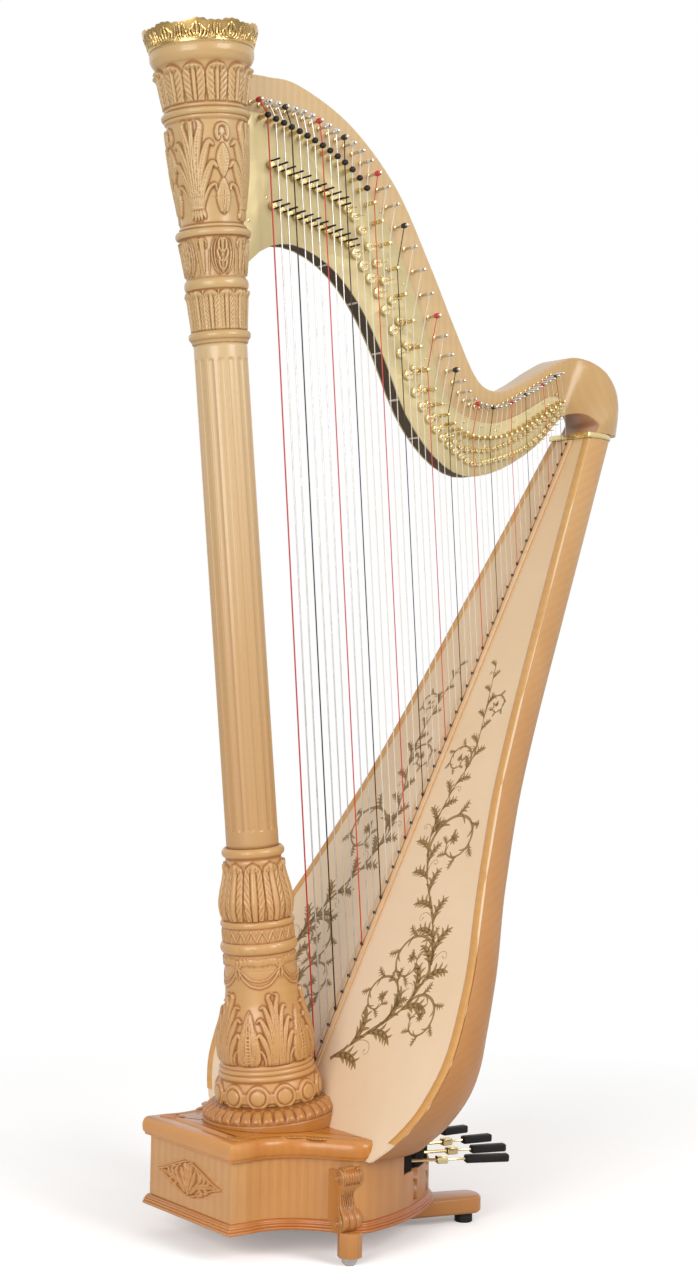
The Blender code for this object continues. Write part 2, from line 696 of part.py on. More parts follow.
def make_soundbox():
    heights = [BODY_BOTTOM + share * (BODY_TOP - BODY_BOTTOM) for share in BODY_ROWS]
    bm = bmesh.new()
    rows = [[bm.verts.new(point) for point in body_section(z)] for z in heights]
    for low, high in zip(rows, rows[1:]):
        for i in range(len(low) - 1):
            bm.faces.new((low[i], low[i + 1], high[i + 1], high[i]))
    shell = finish("soundbox_shell", mesh_from(bm), MAPLE)
    wall = shell.modifiers.new("wall", "SOLIDIFY")
    wall.thickness = BODY_WALL
    wall.offset = -1.0
    trim = cutter("below_body", box_mesh((1.0, 1.0, 0.1), (0, 0, BODY_BOTTOM - 0.05)))
    before = board_side_cutter("before_body", BOARD_THICK + FIT, -1)
    boolean(shell, before, "DIFFERENCE")
    boolean(shell, trim, "DIFFERENCE")
    above = cutter("above_body", box_mesh((1.6, 1.0, 0.1), (0, 0, BODY_TOP + 0.05)))
    boolean(shell, above, "DIFFERENCE")
    for index, (z, wide, high) in enumerate(SOUND_HOLES):
        back = body_section(z)[7].x
        hole = rod_mesh(((back - 0.04, 0, z), (back + 0.06, 0, z)), 1.0, 20)
        hole.transform(Matrix.Translation((0, 0, z)) @ Matrix.Diagonal((1, wide, high, 1))
                       @ Matrix.Translation((0, 0, -z)))
        boolean(shell, cutter(f"sound_hole_{index + 1}", hole), "DIFFERENCE")

    sides = [(value_at(BODY_HALF_WIDTH, z), z) for z in heights]
    outline = [*sides, *((-y, z) for y, z in reversed(sides))]
    slot, rib_slot = string_slot(BOARD_SLOT_BELOW), string_slot(RIB_SLOT_BELOW)
    board = board_slab("soundboard", [outline, slot], 0.0, BOARD_THICK, SPRUCE)
    boolean(board, trim, "DIFFERENCE")
    boolean(board, above, "DIFFERENCE")
    left = -RIB_WIDTH * 0.42
    rib = [(left, RIB_BOTTOM), (left + RIB_WIDTH, RIB_BOTTOM), (left + RIB_WIDTH, RIB_TOP),
           (left, RIB_TOP)]
    board_slab("string_rib", [rib, rib_slot], -FIT - RIB_THICK, -FIT, MAPLE)

    lining = BODY_WALL + FIT
    bottom = body_section(BODY_BOTTOM, lining + 0.001)
    floor = finish("soundbox_bottom", slab_mesh(
        [[p.xy for p in bottom]], BODY_BOTTOM + FIT, BODY_BOTTOM + FIT + FLOOR_THICK), MAPLE)
    boolean(floor, before, "DIFFERENCE")
    outer = [p.xy for p in body_section(BRACE_Z, lining + 0.0035)]
    inner = [p.xy for p in body_section(BRACE_Z, lining + BRACE_WIDTH)]
    inner[0].x = inner[-1].x = outer[0].x
    brace = finish("soundbox_brace", slab_mesh(
        [[*outer, *reversed(inner)]], BRACE_Z - BRACE_THICK / 2, BRACE_Z + BRACE_THICK / 2),
        MAPLE)
    boolean(brace, before, "DIFFERENCE")
    top = body_section(BODY_TOP, -BAND_OVERHANG)
    rim = [(top[0].x - BAND_FORWARD, top[0].y), *(p.xy for p in top),
           (top[-1].x - BAND_FORWARD, top[-1].y)]
    finish("shoulder_band", slab_mesh([rim], BODY_TOP + FIT, NECK_BOTTOM - FIT,
                                      bevel=0.001), GILT)


# The column

def column_profile(points, low, high):
    """The stretch of the column's outside between two heights, as (radius, height)."""
    inside = [(radius, height) for height, radius in points if low < height < high]
    ends = [(value_at(points, height), height) for height in (low, high)]
    return [ends[1], *sorted(inside, key=lambda row: -row[1]), ends[0]]


BASE_TURNING = [  # height along the axis and radius, from the floor plate up
    (0.037, 0.0805), (0.050, 0.0822), (0.062, 0.0790), (0.068, 0.0735), (0.080, 0.0745),
    (0.088, 0.0690), (0.112, 0.0757), (0.125, 0.0735), (0.160, 0.0660), (0.202, 0.0596),
    (0.208, 0.0580), (0.232, 0.0581), (0.256, 0.0575), (0.262, 0.0598), (0.272, 0.0598),
    (0.277, 0.0540), (0.288, 0.0535), (0.294, 0.0572), (0.303, 0.0570), (0.308, 0.0525),
    (0.330, 0.0557), (0.360, 0.0520), (0.392, 0.0450), (0.400, 0.0440), (0.405, 0.0480),
    (0.415, 0.0480), (0.4225, 0.0425),
]
CAPITAL_TURNING = [
    (1.1853, 0.0420), (1.192, 0.0462), (1.204, 0.0462), (1.210, 0.0420), (1.255, 0.0448),
    (1.268, 0.0450), (1.272, 0.0478), (1.288, 0.0478), (1.294, 0.0445), (1.338, 0.0480),
    (1.344, 0.0555), (1.358, 0.0560), (1.368, 0.0500), (1.380, 0.0480), (1.500, 0.0580),
    (1.510, 0.0590), (1.515, 0.0660), (1.532, 0.0680), (1.538, 0.0600), (1.560, 0.0655),
    (1.592, 0.0722), (1.600, 0.0770), (1.614, 0.0788), (1.625, 0.0760),
]


def make_column():
    disc = turned("column_disc", bored(
        [(0.0790, DISC_TOP - FIT), (0.0900, 0.034), (0.1000, 0.028), (DISC_RADIUS, 0.016),
         (DISC_RADIUS, -0.030)], -0.030, DISC_TOP - FIT), CARVED, steps=40)
    floor = cutter("below_disc", box_mesh((0.5, 0.5, 0.1), (0, 0, TOP_Z - 0.05)))
    boolean(disc, floor, "DIFFERENCE")
    behind = board_side_cutter("behind_board", -FIT, 1)
    boolean(disc, behind, "DIFFERENCE")
    base = turned("column_base", bored(
        column_profile(BASE_TURNING, DISC_TOP, SHAFT_FOOT - FIT), DISC_TOP,
        SHAFT_FOOT - FIT), CARVED, steps=24)
    boolean(base, behind, "DIFFERENCE")
    shaft = bored([(SHAFT_RADIUS, SHAFT_TOP), (SHAFT_RADIUS * 0.985, SHAFT_FOOT)],
                  SHAFT_FOOT, SHAFT_TOP)
    turned("column_shaft", shaft, MAPLE, steps=32)
    capital = column_profile(CAPITAL_TURNING, SHAFT_TOP + FIT, CAPITAL_TOP)
    capital = [(0.0, CAPITAL_TOP), *capital, (BORE_RADIUS, SHAFT_TOP + FIT),
               (BORE_RADIUS, BORE_TOP), (0.0, BORE_TOP)]
    turned("column_capital", capital, CARVED, steps=24)
    rim = [(CROWN_RADIUS, CROWN_TOP), (CROWN_RADIUS - 0.002, CROWN_TOP - 0.010),
           (0.0795, CAPITAL_TOP + 0.008), (0.0795, CAPITAL_TOP + FIT)]
    turned("column_crown", [*rim, (0.0795 - CROWN_WALL, CAPITAL_TOP + FIT),
                            (CROWN_RADIUS - CROWN_WALL, CROWN_TOP)], GILT, steps=32)


# The neck and its plates

def neck_lines(per_span=3):
    """The neck's outer and inner edges, and the outer, near and far faces beside them."""
    outer = smooth([station[0] for station in NECK_STATIONS], per_span)
    inner = smooth([station[1] for station in NECK_STATIONS], per_span)
    return outer, inner


def station_value(values, first, place):
    """A value given from one station on, read between stations; 0 before the first."""
    return value_at([(first + i, value) for i, value in enumerate(values)], place)


def make_neck():
    per_span = 3
    outer, inner = neck_lines(per_span)
    edge = 0.004
    sections = []
    for i, (out, into) in enumerate(zip(outer, inner)):
        place = i / per_span
        flare = station_value(SHOULDER_FLARE, SHOULDER_FROM, place)
        near = NECK_NEAR_Y - flare * (NECK_NEAR_Y + SHOULDER_HALF_WIDTH)
        far_in = NECK_FAR_Y - flare * (NECK_FAR_Y - SHOULDER_HALF_WIDTH)
        far_out = far_in + station_value(HORN_SWELL, HORN_FROM, place)
        way = (out - into).normalized()
        depth = CHANNEL_DEPTH * (1 - station_value([0.0, 1.0], 9, place))
        into = into + way * depth
        shoulder = out - way * edge
        ring = [(into, near), (shoulder, near), (out, near + edge), (out, far_out - edge),
                (shoulder, far_out), (into, far_in)]
        sections.append([(point.x, y, point.y) for point, y in ring])
    neck = finish("neck", loft_mesh(sections), MAPLE)
    boolean(neck, capital_cutter(), "DIFFERENCE")

    cover = []
    for i in range(per_span, 9 * per_span + 1):
        way = (outer[i] - inner[i]).normalized()
        low, high = inner[i] + way * 0.0008, inner[i] + way * (CHANNEL_DEPTH - FIT)
        cover.append([(low.x, NECK_NEAR_Y, low.y), (low.x, NECK_FAR_Y, low.y),
                      (high.x, NECK_FAR_Y, high.y), (high.x, NECK_NEAR_Y, high.y)])
    finish("neck_channel_cover", loft_mesh(cover), DARK)

    bottom = inner[:SHOULDER_FROM * per_span + 2]
    plate_top = list(reversed(smooth(PLATE_TOP, 2)))
    near = finish("action_plate_left", upright_slab_mesh(
        [*bottom, *plate_top], PLATE_FACE_Y, PLATE_FACE_Y + PLATE_THICK), BRASS)
    room = capital_cutter()
    boolean(near, room, "DIFFERENCE")
    boolean(near, shoulder_cutter(sections[SHOULDER_FROM * per_span:]), "DIFFERENCE")
    boolean(near, spindle_holes(), "DIFFERENCE")
    far_bottom = [p for p in bottom if p.x < FAR_PLATE_END]
    far_top = [p for p in plate_top if p.x < FAR_PLATE_END - 0.012]
    far = finish("action_plate_right", upright_slab_mesh(
        [*far_bottom, *far_top], NECK_FAR_Y + FIT, NECK_FAR_Y + FIT + PLATE_THICK), BRASS)
    boolean(far, capital_cutter(), "DIFFERENCE")
    boolean(far, horn_cutter(sections), "DIFFERENCE")


def shoulder_cutter(sections):
    """The shoulder with a little more on its near side, where the near plate ends."""
    fuller = [[(x, y - (2 * FIT if y < PLATE_FACE_Y + PLATE_THICK + 2 * FIT else 0), z)
               for x, y, z in ring] for ring in sections]
    return cutter("shoulder", loft_mesh(fuller))


def horn_cutter(sections):
    """The neck's swelling far side, a little fuller, so that the far plate clears it."""
    fuller = [[(x, y + (FIT if y > NECK_NEAR_Y + NECK_THICK / 2 else 0), z)
               for x, y, z in ring] for ring in sections[4 * 3:12 * 3]]
    return cutter("horn", loft_mesh(fuller))


def capital_cutter():
    """The room that the capital takes in the neck's end and the plates."""
    profile = column_profile(CAPITAL_TURNING, SHAFT_TOP + FIT, CAPITAL_TOP)
    profile = [(0.0, CAPITAL_TOP), *profile, (0.0, SHAFT_TOP + FIT)]
    profile = [(radius + FIT if radius else 0.0, height) for radius, height in profile]
    piece = turned("capital_room", profile, MAPLE, steps=24)
    HARP.objects.unlink(piece)
    CUTTERS.objects.link(piece)
    piece.hide_render = True
    piece.display_type = "WIRE"
    return piece


# The strings and the action

def string_hole(index):
    """Where a string comes through the rib, on the board's front face."""
    x = FIRST_STRING_X + STRING_STEP * index - STRING_STEP_LOSS * index ** 2
    return Vector((x, 0.0, TOP_Z + (x - BOARD_FOOT_X) / BOARD_SLOPE))


def on_string(index, z):
    """A point of a string's straight stretch, at a height."""
    hole = string_hole(index)
    return Vector((hole.x - (z - hole.z) * math.tan(STRING_LEAN), 0.0, z))


def tuning_pin(index):
    return Vector((value_at(PIN_ROW_X, index), 0.0, value_at(PIN_ROW_Z, index)))


def string_radius(index):
    share = index / (STRINGS - 1)
    return BASS_STRING_RADIUS + (TREBLE_STRING_RADIUS - BASS_STRING_RADIUS) * share


def make_strings():
    """The strings with their anchor bar behind the board and the pins that hold them."""
    thick, deep = ANCHOR_BAR[1], ANCHOR_BAR[0]
    back = BOARD_THICK + 0.001
    bar_low, bar_high = string_hole(0).z - 0.016, string_hole(STRINGS - 1).z + 0.004
    bar = [(-deep / 2, bar_low), (deep / 2, bar_low), (deep / 2, bar_high),
           (-deep / 2, bar_high)]
    strings = board_slab("strings", [bar], back, back + thick, NYLON)
    cords, pins, bridges = [], [], []
    for index in range(STRINGS):
        hole = string_hole(index)
        inside = on_string(index, hole.z - (back + thick / 2)
                           / math.sin(math.atan(BOARD_SLOPE) + STRING_LEAN))
        bridge = on_string(index, value_at(BRIDGE_ROW, index))
        pin = tuning_pin(index)
        cords.append(wire_mesh([inside, bridge, pin], string_radius(index), 0))
        reach = Vector((0, TUNING_PIN_REACH, 0))
        pins.append(rod_mesh((pin - reach, pin + Vector((0, NECK_NEAR_Y - FIT, 0))),
                             TUNING_PIN_RADIUS, 5))
        reach = Vector((0, BRIDGE_PIN_REACH, 0))
        bridges.append(rod_mesh((bridge - reach,
                                 bridge + Vector((0, PLATE_FACE_Y - FIT, 0))),
                                BRIDGE_PIN_RADIUS, 5))
    for name, meshes in (("cords", cords), ("tuning_pins", pins), ("bridge_pins", bridges)):
        boolean(strings, cutter(name, joined_mesh(meshes)), "UNION")


def disc_places():
    """Each disc of the octave: its name, its string's number and its centre."""
    rows = {"natural": NATURAL_ROW, "sharp": SHARP_ROW}
    for kind, row in rows.items():
        for step, note in enumerate(NOTES):
            index = OCTAVE_START + step
            yield f"{kind}_disc_{note}", on_string(index, value_at(row, index))


def spindle_holes():
    holes = [rod_mesh((centre + Vector((0, 0.01, 0)), centre + Vector((0, 0.04, 0))),
                      SPINDLE_RADIUS + SPINDLE_ROOM, 10) for _, centre in disc_places()]
    return cutter("spindle_holes", joined_mesh(holes))


def make_discs():
    """A disc turns on its spindle, and its two prongs stand on each side of the string."""
    front = DISC_BACK_Y - DISC_THICK
    for name, centre in disc_places():
        body = rod_mesh(((0, front, 0), (0, DISC_BACK_Y, 0)), DISC_BODY_RADIUS, 12)
        disc = finish(name, body, GILT, location=centre)
        tool = [rod_mesh(((0, DISC_BACK_Y - 0.001, 0), (0, NECK_NEAR_Y - FIT, 0)),
                         SPINDLE_RADIUS, 8)]
        for side in (-1, 1):
            foot = Vector((side * PRONG_SPREAD * math.cos(STRING_LEAN), front + 0.001,
                           side * PRONG_SPREAD * math.sin(STRING_LEAN)))
            tool.append(rod_mesh((foot, (foot.x, -PRONG_REACH, foot.z)), PRONG_RADIUS, 5))
        boolean(disc, cutter(f"{name}_fittings", joined_mesh(tool), location=centre), "UNION")


def make_pedals():
    for index, note in enumerate(PEDALS):
        angle = pedal_angle(index)
        turn = (0, 0, angle)
        rod_y = (index - (len(PEDALS) - 1) / 2) * ROD_SPACING
        rod_foot_z = PIVOT_Z + ARM_RADIUS * ARM_END_SHARE + ROD_LIFT
        rod_foot = (rod_foot_z - TOP_Z) / math.cos(LEAN)
        rod = rod_mesh(((0, 0, rod_foot), (0, 0, ROD_TOP)), ROD_RADIUS, 8)
        finish(f"pedal_{note}_rod", rod, STEEL, COLUMN_AXIS, location=(0, rod_y, 0))

        pivot = empty(f"pedal_{note}_pivot", HARP_FRAME,
                      fan_point(angle, PIVOT_RADIUS, PIVOT_Z), turn)
        knuckle = casing_radius(angle) + KNUCKLE_PAST_WALL - PIVOT_RADIUS
        rise = PEDAL_Z - PIVOT_Z
        end = column_point(rod_foot, rod_y)
        end.z = PIVOT_Z
        inner_end = Matrix.Rotation(-angle, 3, "Z") @ (end - pivot.location)
        wall = casing_radius(angle) - PIVOT_RADIUS
        bend = max(wall - 0.03, 0.04)
        path = [inner_end, (0, 0, 0), (bend, 0, rise), (knuckle, 0, rise)]
        arm = finish(f"pedal_{note}_arm", wire_mesh(path, ARM_RADIUS, 1, ARM_END_SHARE),
                     STEEL, pivot)
        hub = rod_mesh(((0, -HUB_LENGTH / 2, 0), (0, HUB_LENGTH / 2, 0)), HUB_RADIUS, 12)
        boolean(arm, cutter(f"{note}_hub", hub, pivot), "UNION")
        length, width, height = FORK_SIZE
        fork = box_mesh((length, width, height), (knuckle + length / 2 - FORK_LAP, 0, rise),
                        bevel=0.0015)
        boolean(arm, cutter(f"{note}_fork", fork, pivot), "UNION")
        pin_x = knuckle + length - FORK_LAP - FOLD_PIN_FROM_END
        slot_from = pin_x - TONGUE_RADIUS - TONGUE_ROOM
        slot = box_mesh((length, FORK_SLOT, 3 * height), (slot_from + length / 2, 0, rise))
        boolean(arm, cutter(f"{note}_fork_slot", slot, pivot), "DIFFERENCE")
        pin = rod_mesh(((pin_x, -width / 2 + 0.001, rise), (pin_x, width / 2 - 0.001, rise)),
                       FOLD_PIN_RADIUS, 8)
        boolean(arm, cutter(f"{note}_fold_pin", pin, pivot), "UNION")
        make_pedal_tip(note, pivot, pin_x, rise,
                       PEDAL_REACH * math.cos(angle) - PIVOT_RADIUS)


def make_pedal_tip(note, pivot, pin_x, rise, reach):
    """The folding end of a pedal: a tongue on the fork's pin, a stem and its rubber."""
    hinge = empty(f"pedal_{note}_fold", pivot, (pin_x, 0, rise))
    half = FORK_SLOT / 2 - FIT
    tongue = rod_mesh(((0, -half, 0), (0, half, 0)), TONGUE_RADIUS, 12)
    tip = finish(f"pedal_{note}_tip", tongue, RUBBER, hinge)
    stem_end = reach - pin_x
    stem = rod_mesh(((0.0035, 0, 0), (stem_end - 0.004, 0, 0)), TIP_STEM_RADIUS, 8)
    boolean(tip, cutter(f"{note}_stem", stem, hinge), "UNION")
    width, height = TIP_SECTION
    covered = TIP_SHARE * (stem_end - FOLD_PIN_FROM_END)
    rubber = box_mesh((covered, width, height), (stem_end - covered / 2, 0, 0), 0.002)
    boolean(tip, cutter(f"{note}_rubber", rubber, hinge), "UNION")
    eye = rod_mesh(((0, -0.01, 0), (0, 0.01, 0)), FOLD_PIN_RADIUS + FIT, 10)
    boolean(tip, cutter(f"{note}_tip_eye", eye, hinge), "DIFFERENCE")


make_base()
make_soundbox()
make_column()
make_neck()
make_strings()
make_discs()
make_pedals()
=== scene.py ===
"""Looks of the concert pedal harp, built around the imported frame.

Every dimension is in metres in the frame's own axes: X from the column to the player, Y to
the player's right and Z up. Tables given in the harp's own plan are moved by HARP_X.
"""
import bisect
import json
import logging
import math
from dataclasses import dataclass, field
from enum import Enum
from typing import Callable, Iterable, Sequence

import bmesh
import bpy
import numpy as np
from mathutils import Matrix, Vector

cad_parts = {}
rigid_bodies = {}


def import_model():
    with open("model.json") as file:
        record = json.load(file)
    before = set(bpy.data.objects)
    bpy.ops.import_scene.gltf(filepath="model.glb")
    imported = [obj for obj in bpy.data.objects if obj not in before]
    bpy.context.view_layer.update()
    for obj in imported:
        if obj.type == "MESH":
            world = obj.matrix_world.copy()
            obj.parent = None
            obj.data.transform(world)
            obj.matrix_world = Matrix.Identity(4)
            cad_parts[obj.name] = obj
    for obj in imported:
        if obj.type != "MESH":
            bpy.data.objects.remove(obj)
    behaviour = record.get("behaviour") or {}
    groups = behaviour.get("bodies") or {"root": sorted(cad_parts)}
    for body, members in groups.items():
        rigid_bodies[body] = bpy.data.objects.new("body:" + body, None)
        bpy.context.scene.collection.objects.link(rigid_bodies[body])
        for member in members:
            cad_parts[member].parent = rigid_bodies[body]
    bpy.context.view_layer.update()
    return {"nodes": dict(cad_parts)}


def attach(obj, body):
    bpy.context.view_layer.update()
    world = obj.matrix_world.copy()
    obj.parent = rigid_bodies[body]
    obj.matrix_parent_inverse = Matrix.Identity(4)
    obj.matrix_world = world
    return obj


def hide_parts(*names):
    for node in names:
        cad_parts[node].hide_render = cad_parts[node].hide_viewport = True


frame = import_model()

LOG = logging.getLogger("harp")
TAU = 2 * math.pi

Array = np.ndarray
Relief = Callable[[Array, Array, float], Array]
Colour = tuple[float, float, float]
Row = Sequence[tuple[float, float]]

# Shared sizes

HARP_X = -0.224
TOP_Z = 0.1794
LEAN = math.radians(5.93)
FIT = 0.0003
BOARD_FOOT_X = 0.045
BOARD_SLOPE = 0.495
BOARD_THICK = 0.004
BODY_BOTTOM = 0.150
BODY_TOP = 1.2743
BORE = 0.0245
PLATE_FACE_Y = 0.022
NECK_NEAR_Y = 0.0248
NECK_FAR_Y = 0.0515
STRINGS = 47
STRING_LEAN = math.radians(5)
FIRST_STRING_X = 0.0824
STRING_STEP = 0.01257
STRING_STEP_LOSS = 0.0000388
RIB_FRONT = 0.0043
PEDAL_FAN_X = -0.200  # the pedals' arms all point away from here
COLUMN = Matrix.Translation((HARP_X, 0, TOP_Z)) @ Matrix.Rotation(-LEAN, 4, "Y")
TURN_TO_X = Matrix.Rotation(math.pi / 2, 4, "Y")  # lays local Z along X
TURN_NEAR = Matrix.Rotation(math.pi / 2, 4, "X")  # lays local Z towards the near side
UPRIGHT_BOARD = math.sqrt(1 + BOARD_SLOPE ** 2)
BOARD_TO_STRING = math.atan(BOARD_SLOPE) + STRING_LEAN

BASE_SIDE = ((-.143, -.1145), (-.115, -.1145), (-.085, -.113), (-.045, -.1255),
             (-.012, -.1546), (.012, -.184), (.034, -.199), (.070, -.193), (.121, -.1746),
             (.171, -.1465), (.219, -.112), (.252, -.072), (.268, 0))
BODY_HALF_WIDTH = ((.150, .215), (.190, .262), (.240, .293), (.300, .305), (.400, .286),
                   (.540, .230), (.700, .173), (1.0, .104), (1.2743, .048))
BODY_DEPTH = ((.150, .190), (.240, .180), (.335, .142), (.540, .110), (1.060, .083),
              (1.2743, .067))
SOUND_HOLES = ((.40, .034, .062), (.60, .030, .052), (.79, .025, .045), (.97, .020, .038))
BRIDGE_ROW = ((0, 1.722), (5, 1.702), (10, 1.672), (13, 1.638), (15, 1.590), (17, 1.519),
              (19, 1.438), (21, 1.362), (23, 1.309), (26, 1.272), (29, 1.262), (33, 1.266),
              (38, 1.288), (42, 1.314), (46, 1.338))
NATURAL_ROW = ((0, 1.656), (3, 1.644), (6, 1.630), (9, 1.618), (12, 1.594), (14, 1.550),
               (16, 1.499), (18, 1.438), (20, 1.364), (22, 1.310), (25, 1.262), (28, 1.242),
               (31, 1.243), (36, 1.262), (41, 1.294), (46, 1.330))
SHARP_ROW = ((0, 1.592), (4, 1.578), (8, 1.564), (11, 1.549), (13, 1.518), (15, 1.479),
             (17, 1.422), (19, 1.353), (21, 1.304), (24, 1.257), (27, 1.230), (29, 1.220),
             (33, 1.230), (38, 1.250), (42, 1.278), (46, 1.318))
PIN_ROW_Z = ((0, 1.743), (5, 1.737), (9, 1.718), (12, 1.695), (15, 1.645), (18, 1.557),
             (21, 1.452), (24, 1.368), (28, 1.317), (31, 1.314), (38, 1.342), (46, 1.385))
PIN_ROW_X = ((0, -.062), (14, .167), (21, .293), (28, .383), (35, .456), (46, .561))
NECK_STATIONS = (((-.098, 1.787), (-.098, 1.452)), ((-.030, 1.790), (-.040, 1.515)),
                 ((.030, 1.787), (.020, 1.534)), ((.130, 1.742), (.090, 1.512)),
                 ((.223, 1.657), (.150, 1.459)), ((.295, 1.543), (.200, 1.384)),
                 ((.350, 1.445), (.250, 1.290)), ((.400, 1.364), (.310, 1.226)),
                 ((.443, 1.346), (.375, 1.198)), ((.495, 1.364), (.450, 1.214)),
                 ((.560, 1.399), (.527, 1.259)), ((.615, 1.421), (.580, 1.310)),
                 ((.665, 1.412), (.608, 1.322)), ((.698, 1.372), (.617, 1.308)),
                 ((.703, 1.330), (.612, 1.296)), ((.694, 1.2845), (.604, 1.2845)))
MOVING_NOTES = "cdefgab"  # the strings from FIRST_MOVING on, whose discs turn
FIRST_MOVING = 14


class Body(Enum):
    """Bodies that pieces ride on by a fixed name."""

    FRAME = "frame"


# Curves

def value_at(table: Row, place: float) -> float:
    """Read a smooth value between the rows of a table.

    Args:
        table: Rows of (place, value), in order of place.
        place: Where the value is wanted; held to the table's ends.

    Returns:
        The value, on a curve that never overshoots its rows.
    """
    places = [row[0] for row in table]
    place = min(max(place, places[0]), places[-1])
    i = min(bisect.bisect_right(places, place), len(places) - 1)
    (x0, y0), (x1, y1) = table[i - 1], table[i]
    span = x1 - x0
    t = (place - x0) / span
    low, high = slope_at(table, i - 1), slope_at(table, i)
    return ((2 * t ** 3 - 3 * t * t + 1) * y0 + (t ** 3 - 2 * t * t + t) * span * low
            + (3 * t * t - 2 * t ** 3) * y1 + (t ** 3 - t * t) * span * high)


def slope_at(table: Row, i: int) -> float:
    """Return the slope at a table's row, the harmonic mean of its two sides.

    Args:
        table: Rows of (place, value), in order of place.
        i: The row's number.

    Returns:
        The slope, 0 where the table turns.
    """
    sides = [(table[j + 1][1] - table[j][1]) / (table[j + 1][0] - table[j][0])
             for j in (i - 1, i) if 0 <= j < len(table) - 1]
    if len(sides) == 1:
        return sides[0]
    if sides[0] * sides[1] <= 0:
        return 0.0
    return 2 * sides[0] * sides[1] / (sides[0] + sides[1])


def smooth(points: Sequence[Sequence[float]], per_span: int = 4) -> list[Vector]:
    """Draw a smooth line through points.

    Args:
        points: The points that the line passes through.
        per_span: Steps between two of them.

    Returns:
        The line's points, its ends included.
    """
    line: list[Vector] = []
    last = len(points) - 1
    for i in range(last):
        before, start, end, after = (Vector(points[min(max(j, 0), last)])
                                     for j in range(i - 1, i + 3))
        for step in range(per_span):
            t = step / per_span
            line.append(0.5 * ((2 * start) + (end - before) * t
                        + (2 * before - 5 * start + 4 * end - after) * t * t
                        + (3 * start - before - 3 * end + after) * t ** 3))
    line.append(Vector(points[last]))
    return line


def grown(outline: Sequence[Vector], distance: float) -> list[Vector]:
    """Move a closed outline outwards, corner by corner.

    Args:
        outline: The plan's corners in order.
        distance: How far it grows; negative shrinks it.

    Returns:
        As many corners as before.
    """
    count = len(outline)
    area = sum(outline[i - 1][0] * outline[i][1] - outline[i][0] * outline[i - 1][1]
               for i in range(count))
    side = 1.0 if area > 0 else -1.0
    moved = []
    for i in range(count):
        before, here, after = (Vector(outline[j]) for j in (i - 1, i, (i + 1) % count))
        first, second = (here - before).normalized(), (after - here).normalized()
        out_first = Vector((first.y, -first.x)) * side
        out_second = Vector((second.y, -second.x)) * side
        middle = (out_first + out_second).normalized()
        moved.append(here + middle * distance / max(middle.dot(out_first), 0.5))
    return moved


def board_x(z: float) -> float:
    """Return the soundboard's front face at a height, in the harp's plan."""
    return BOARD_FOOT_X + BOARD_SLOPE * (z - TOP_Z)


def board_point(z: float, y: float = 0.0, depth: float = 0.0) -> Vector:
    """Return a point on the soundboard's face, or in front of it where depth is below 0."""
    into = Vector((1, 0, -BOARD_SLOPE)).normalized() * depth
    return Vector((board_x(z) + HARP_X, y, z)) + into


def string_hole(index: int) -> Vector:
    """Return where a string meets the plane of the board's front face."""
    x = FIRST_STRING_X + STRING_STEP * index - STRING_STEP_LOSS * index ** 2
    return Vector((x + HARP_X, 0.0, TOP_Z + (x - BOARD_FOOT_X) / BOARD_SLOPE))


def on_string(index: int, z: float) -> Vector:
    """Return a string's point at a height."""
    hole = string_hole(index)
    return Vector((hole.x - (z - hole.z) * math.tan(STRING_LEAN), 0.0, z))


def tuning_pin(index: int) -> Vector:
    """Return a tuning pin's middle in the plane of the strings."""
    return Vector((value_at(PIN_ROW_X, index) + HARP_X, 0.0, value_at(PIN_ROW_Z, index)))


# Making and placing meshes

def select_only(piece: bpy.types.Object) -> None:
    """Select one object and make it active.

    Args:
        piece: The object.
    """
    for other in bpy.context.view_layer.objects:
        other.select_set(False)
    piece.select_set(True)
    bpy.context.view_layer.objects.active = piece


def new_object(name: str, verts: Sequence, faces: Sequence,
               edges: Sequence = ()) -> bpy.types.Object:
    """Make an object from plain lists, shaded smooth and linked to the scene.

    Args:
        name: The object's name.
        verts: Its points.
        faces: Its faces, as lists of point numbers.
        edges: Its loose edges, if any.

    Returns:
        The new object.
    """
    mesh = bpy.data.meshes.new(name)
    mesh.from_pydata(verts, edges, faces)
    mesh.validate()
    mesh.shade_smooth()
    made = bpy.data.objects.new(name, mesh)
    bpy.context.scene.collection.objects.link(made)
    return made


def set_values(piece: bpy.types.Object, layer: str, values: Array | Sequence[float]) -> None:
    """Store a value for each point of a piece, for its material to read."""
    store = piece.data.attributes.new(layer, "FLOAT", "POINT")
    store.data.foreach_set("value", np.ascontiguousarray(values, np.float32).ravel())


def grid_object(name: str, points: Array, recess: Array | None = None, *,
                closed: bool = False, capped: bool = False) -> bpy.types.Object:
    """Make a surface from rings of points.

    Args:
        name: The object's name.
        points: Rings by columns by three.
        recess: How deep in the carving each point lies, from 0 to 1; the finish paints shade
            there.
        closed: Whether the last ring joins the first.
        capped: Whether the first and last rings get a face each.

    Returns:
        The new object.
    """
    rows, cols = points.shape[:2]
    index = np.arange(rows * cols).reshape(rows, cols)
    index = np.hstack([index, index[:, :1]])
    if closed:
        index = np.vstack([index, index[:1]])
    quads = np.stack([index[:-1, :-1], index[:-1, 1:], index[1:, 1:], index[1:, :-1]], -1)
    faces = quads.reshape(-1, 4).tolist()
    if capped:
        faces.append(index[0, :cols][::-1].tolist())
        faces.append(index[-1, :cols].tolist())
    made = new_object(name, points.reshape(-1, 3).tolist(), faces)
    if recess is not None:
        set_values(made, "recess", recess)
    return made


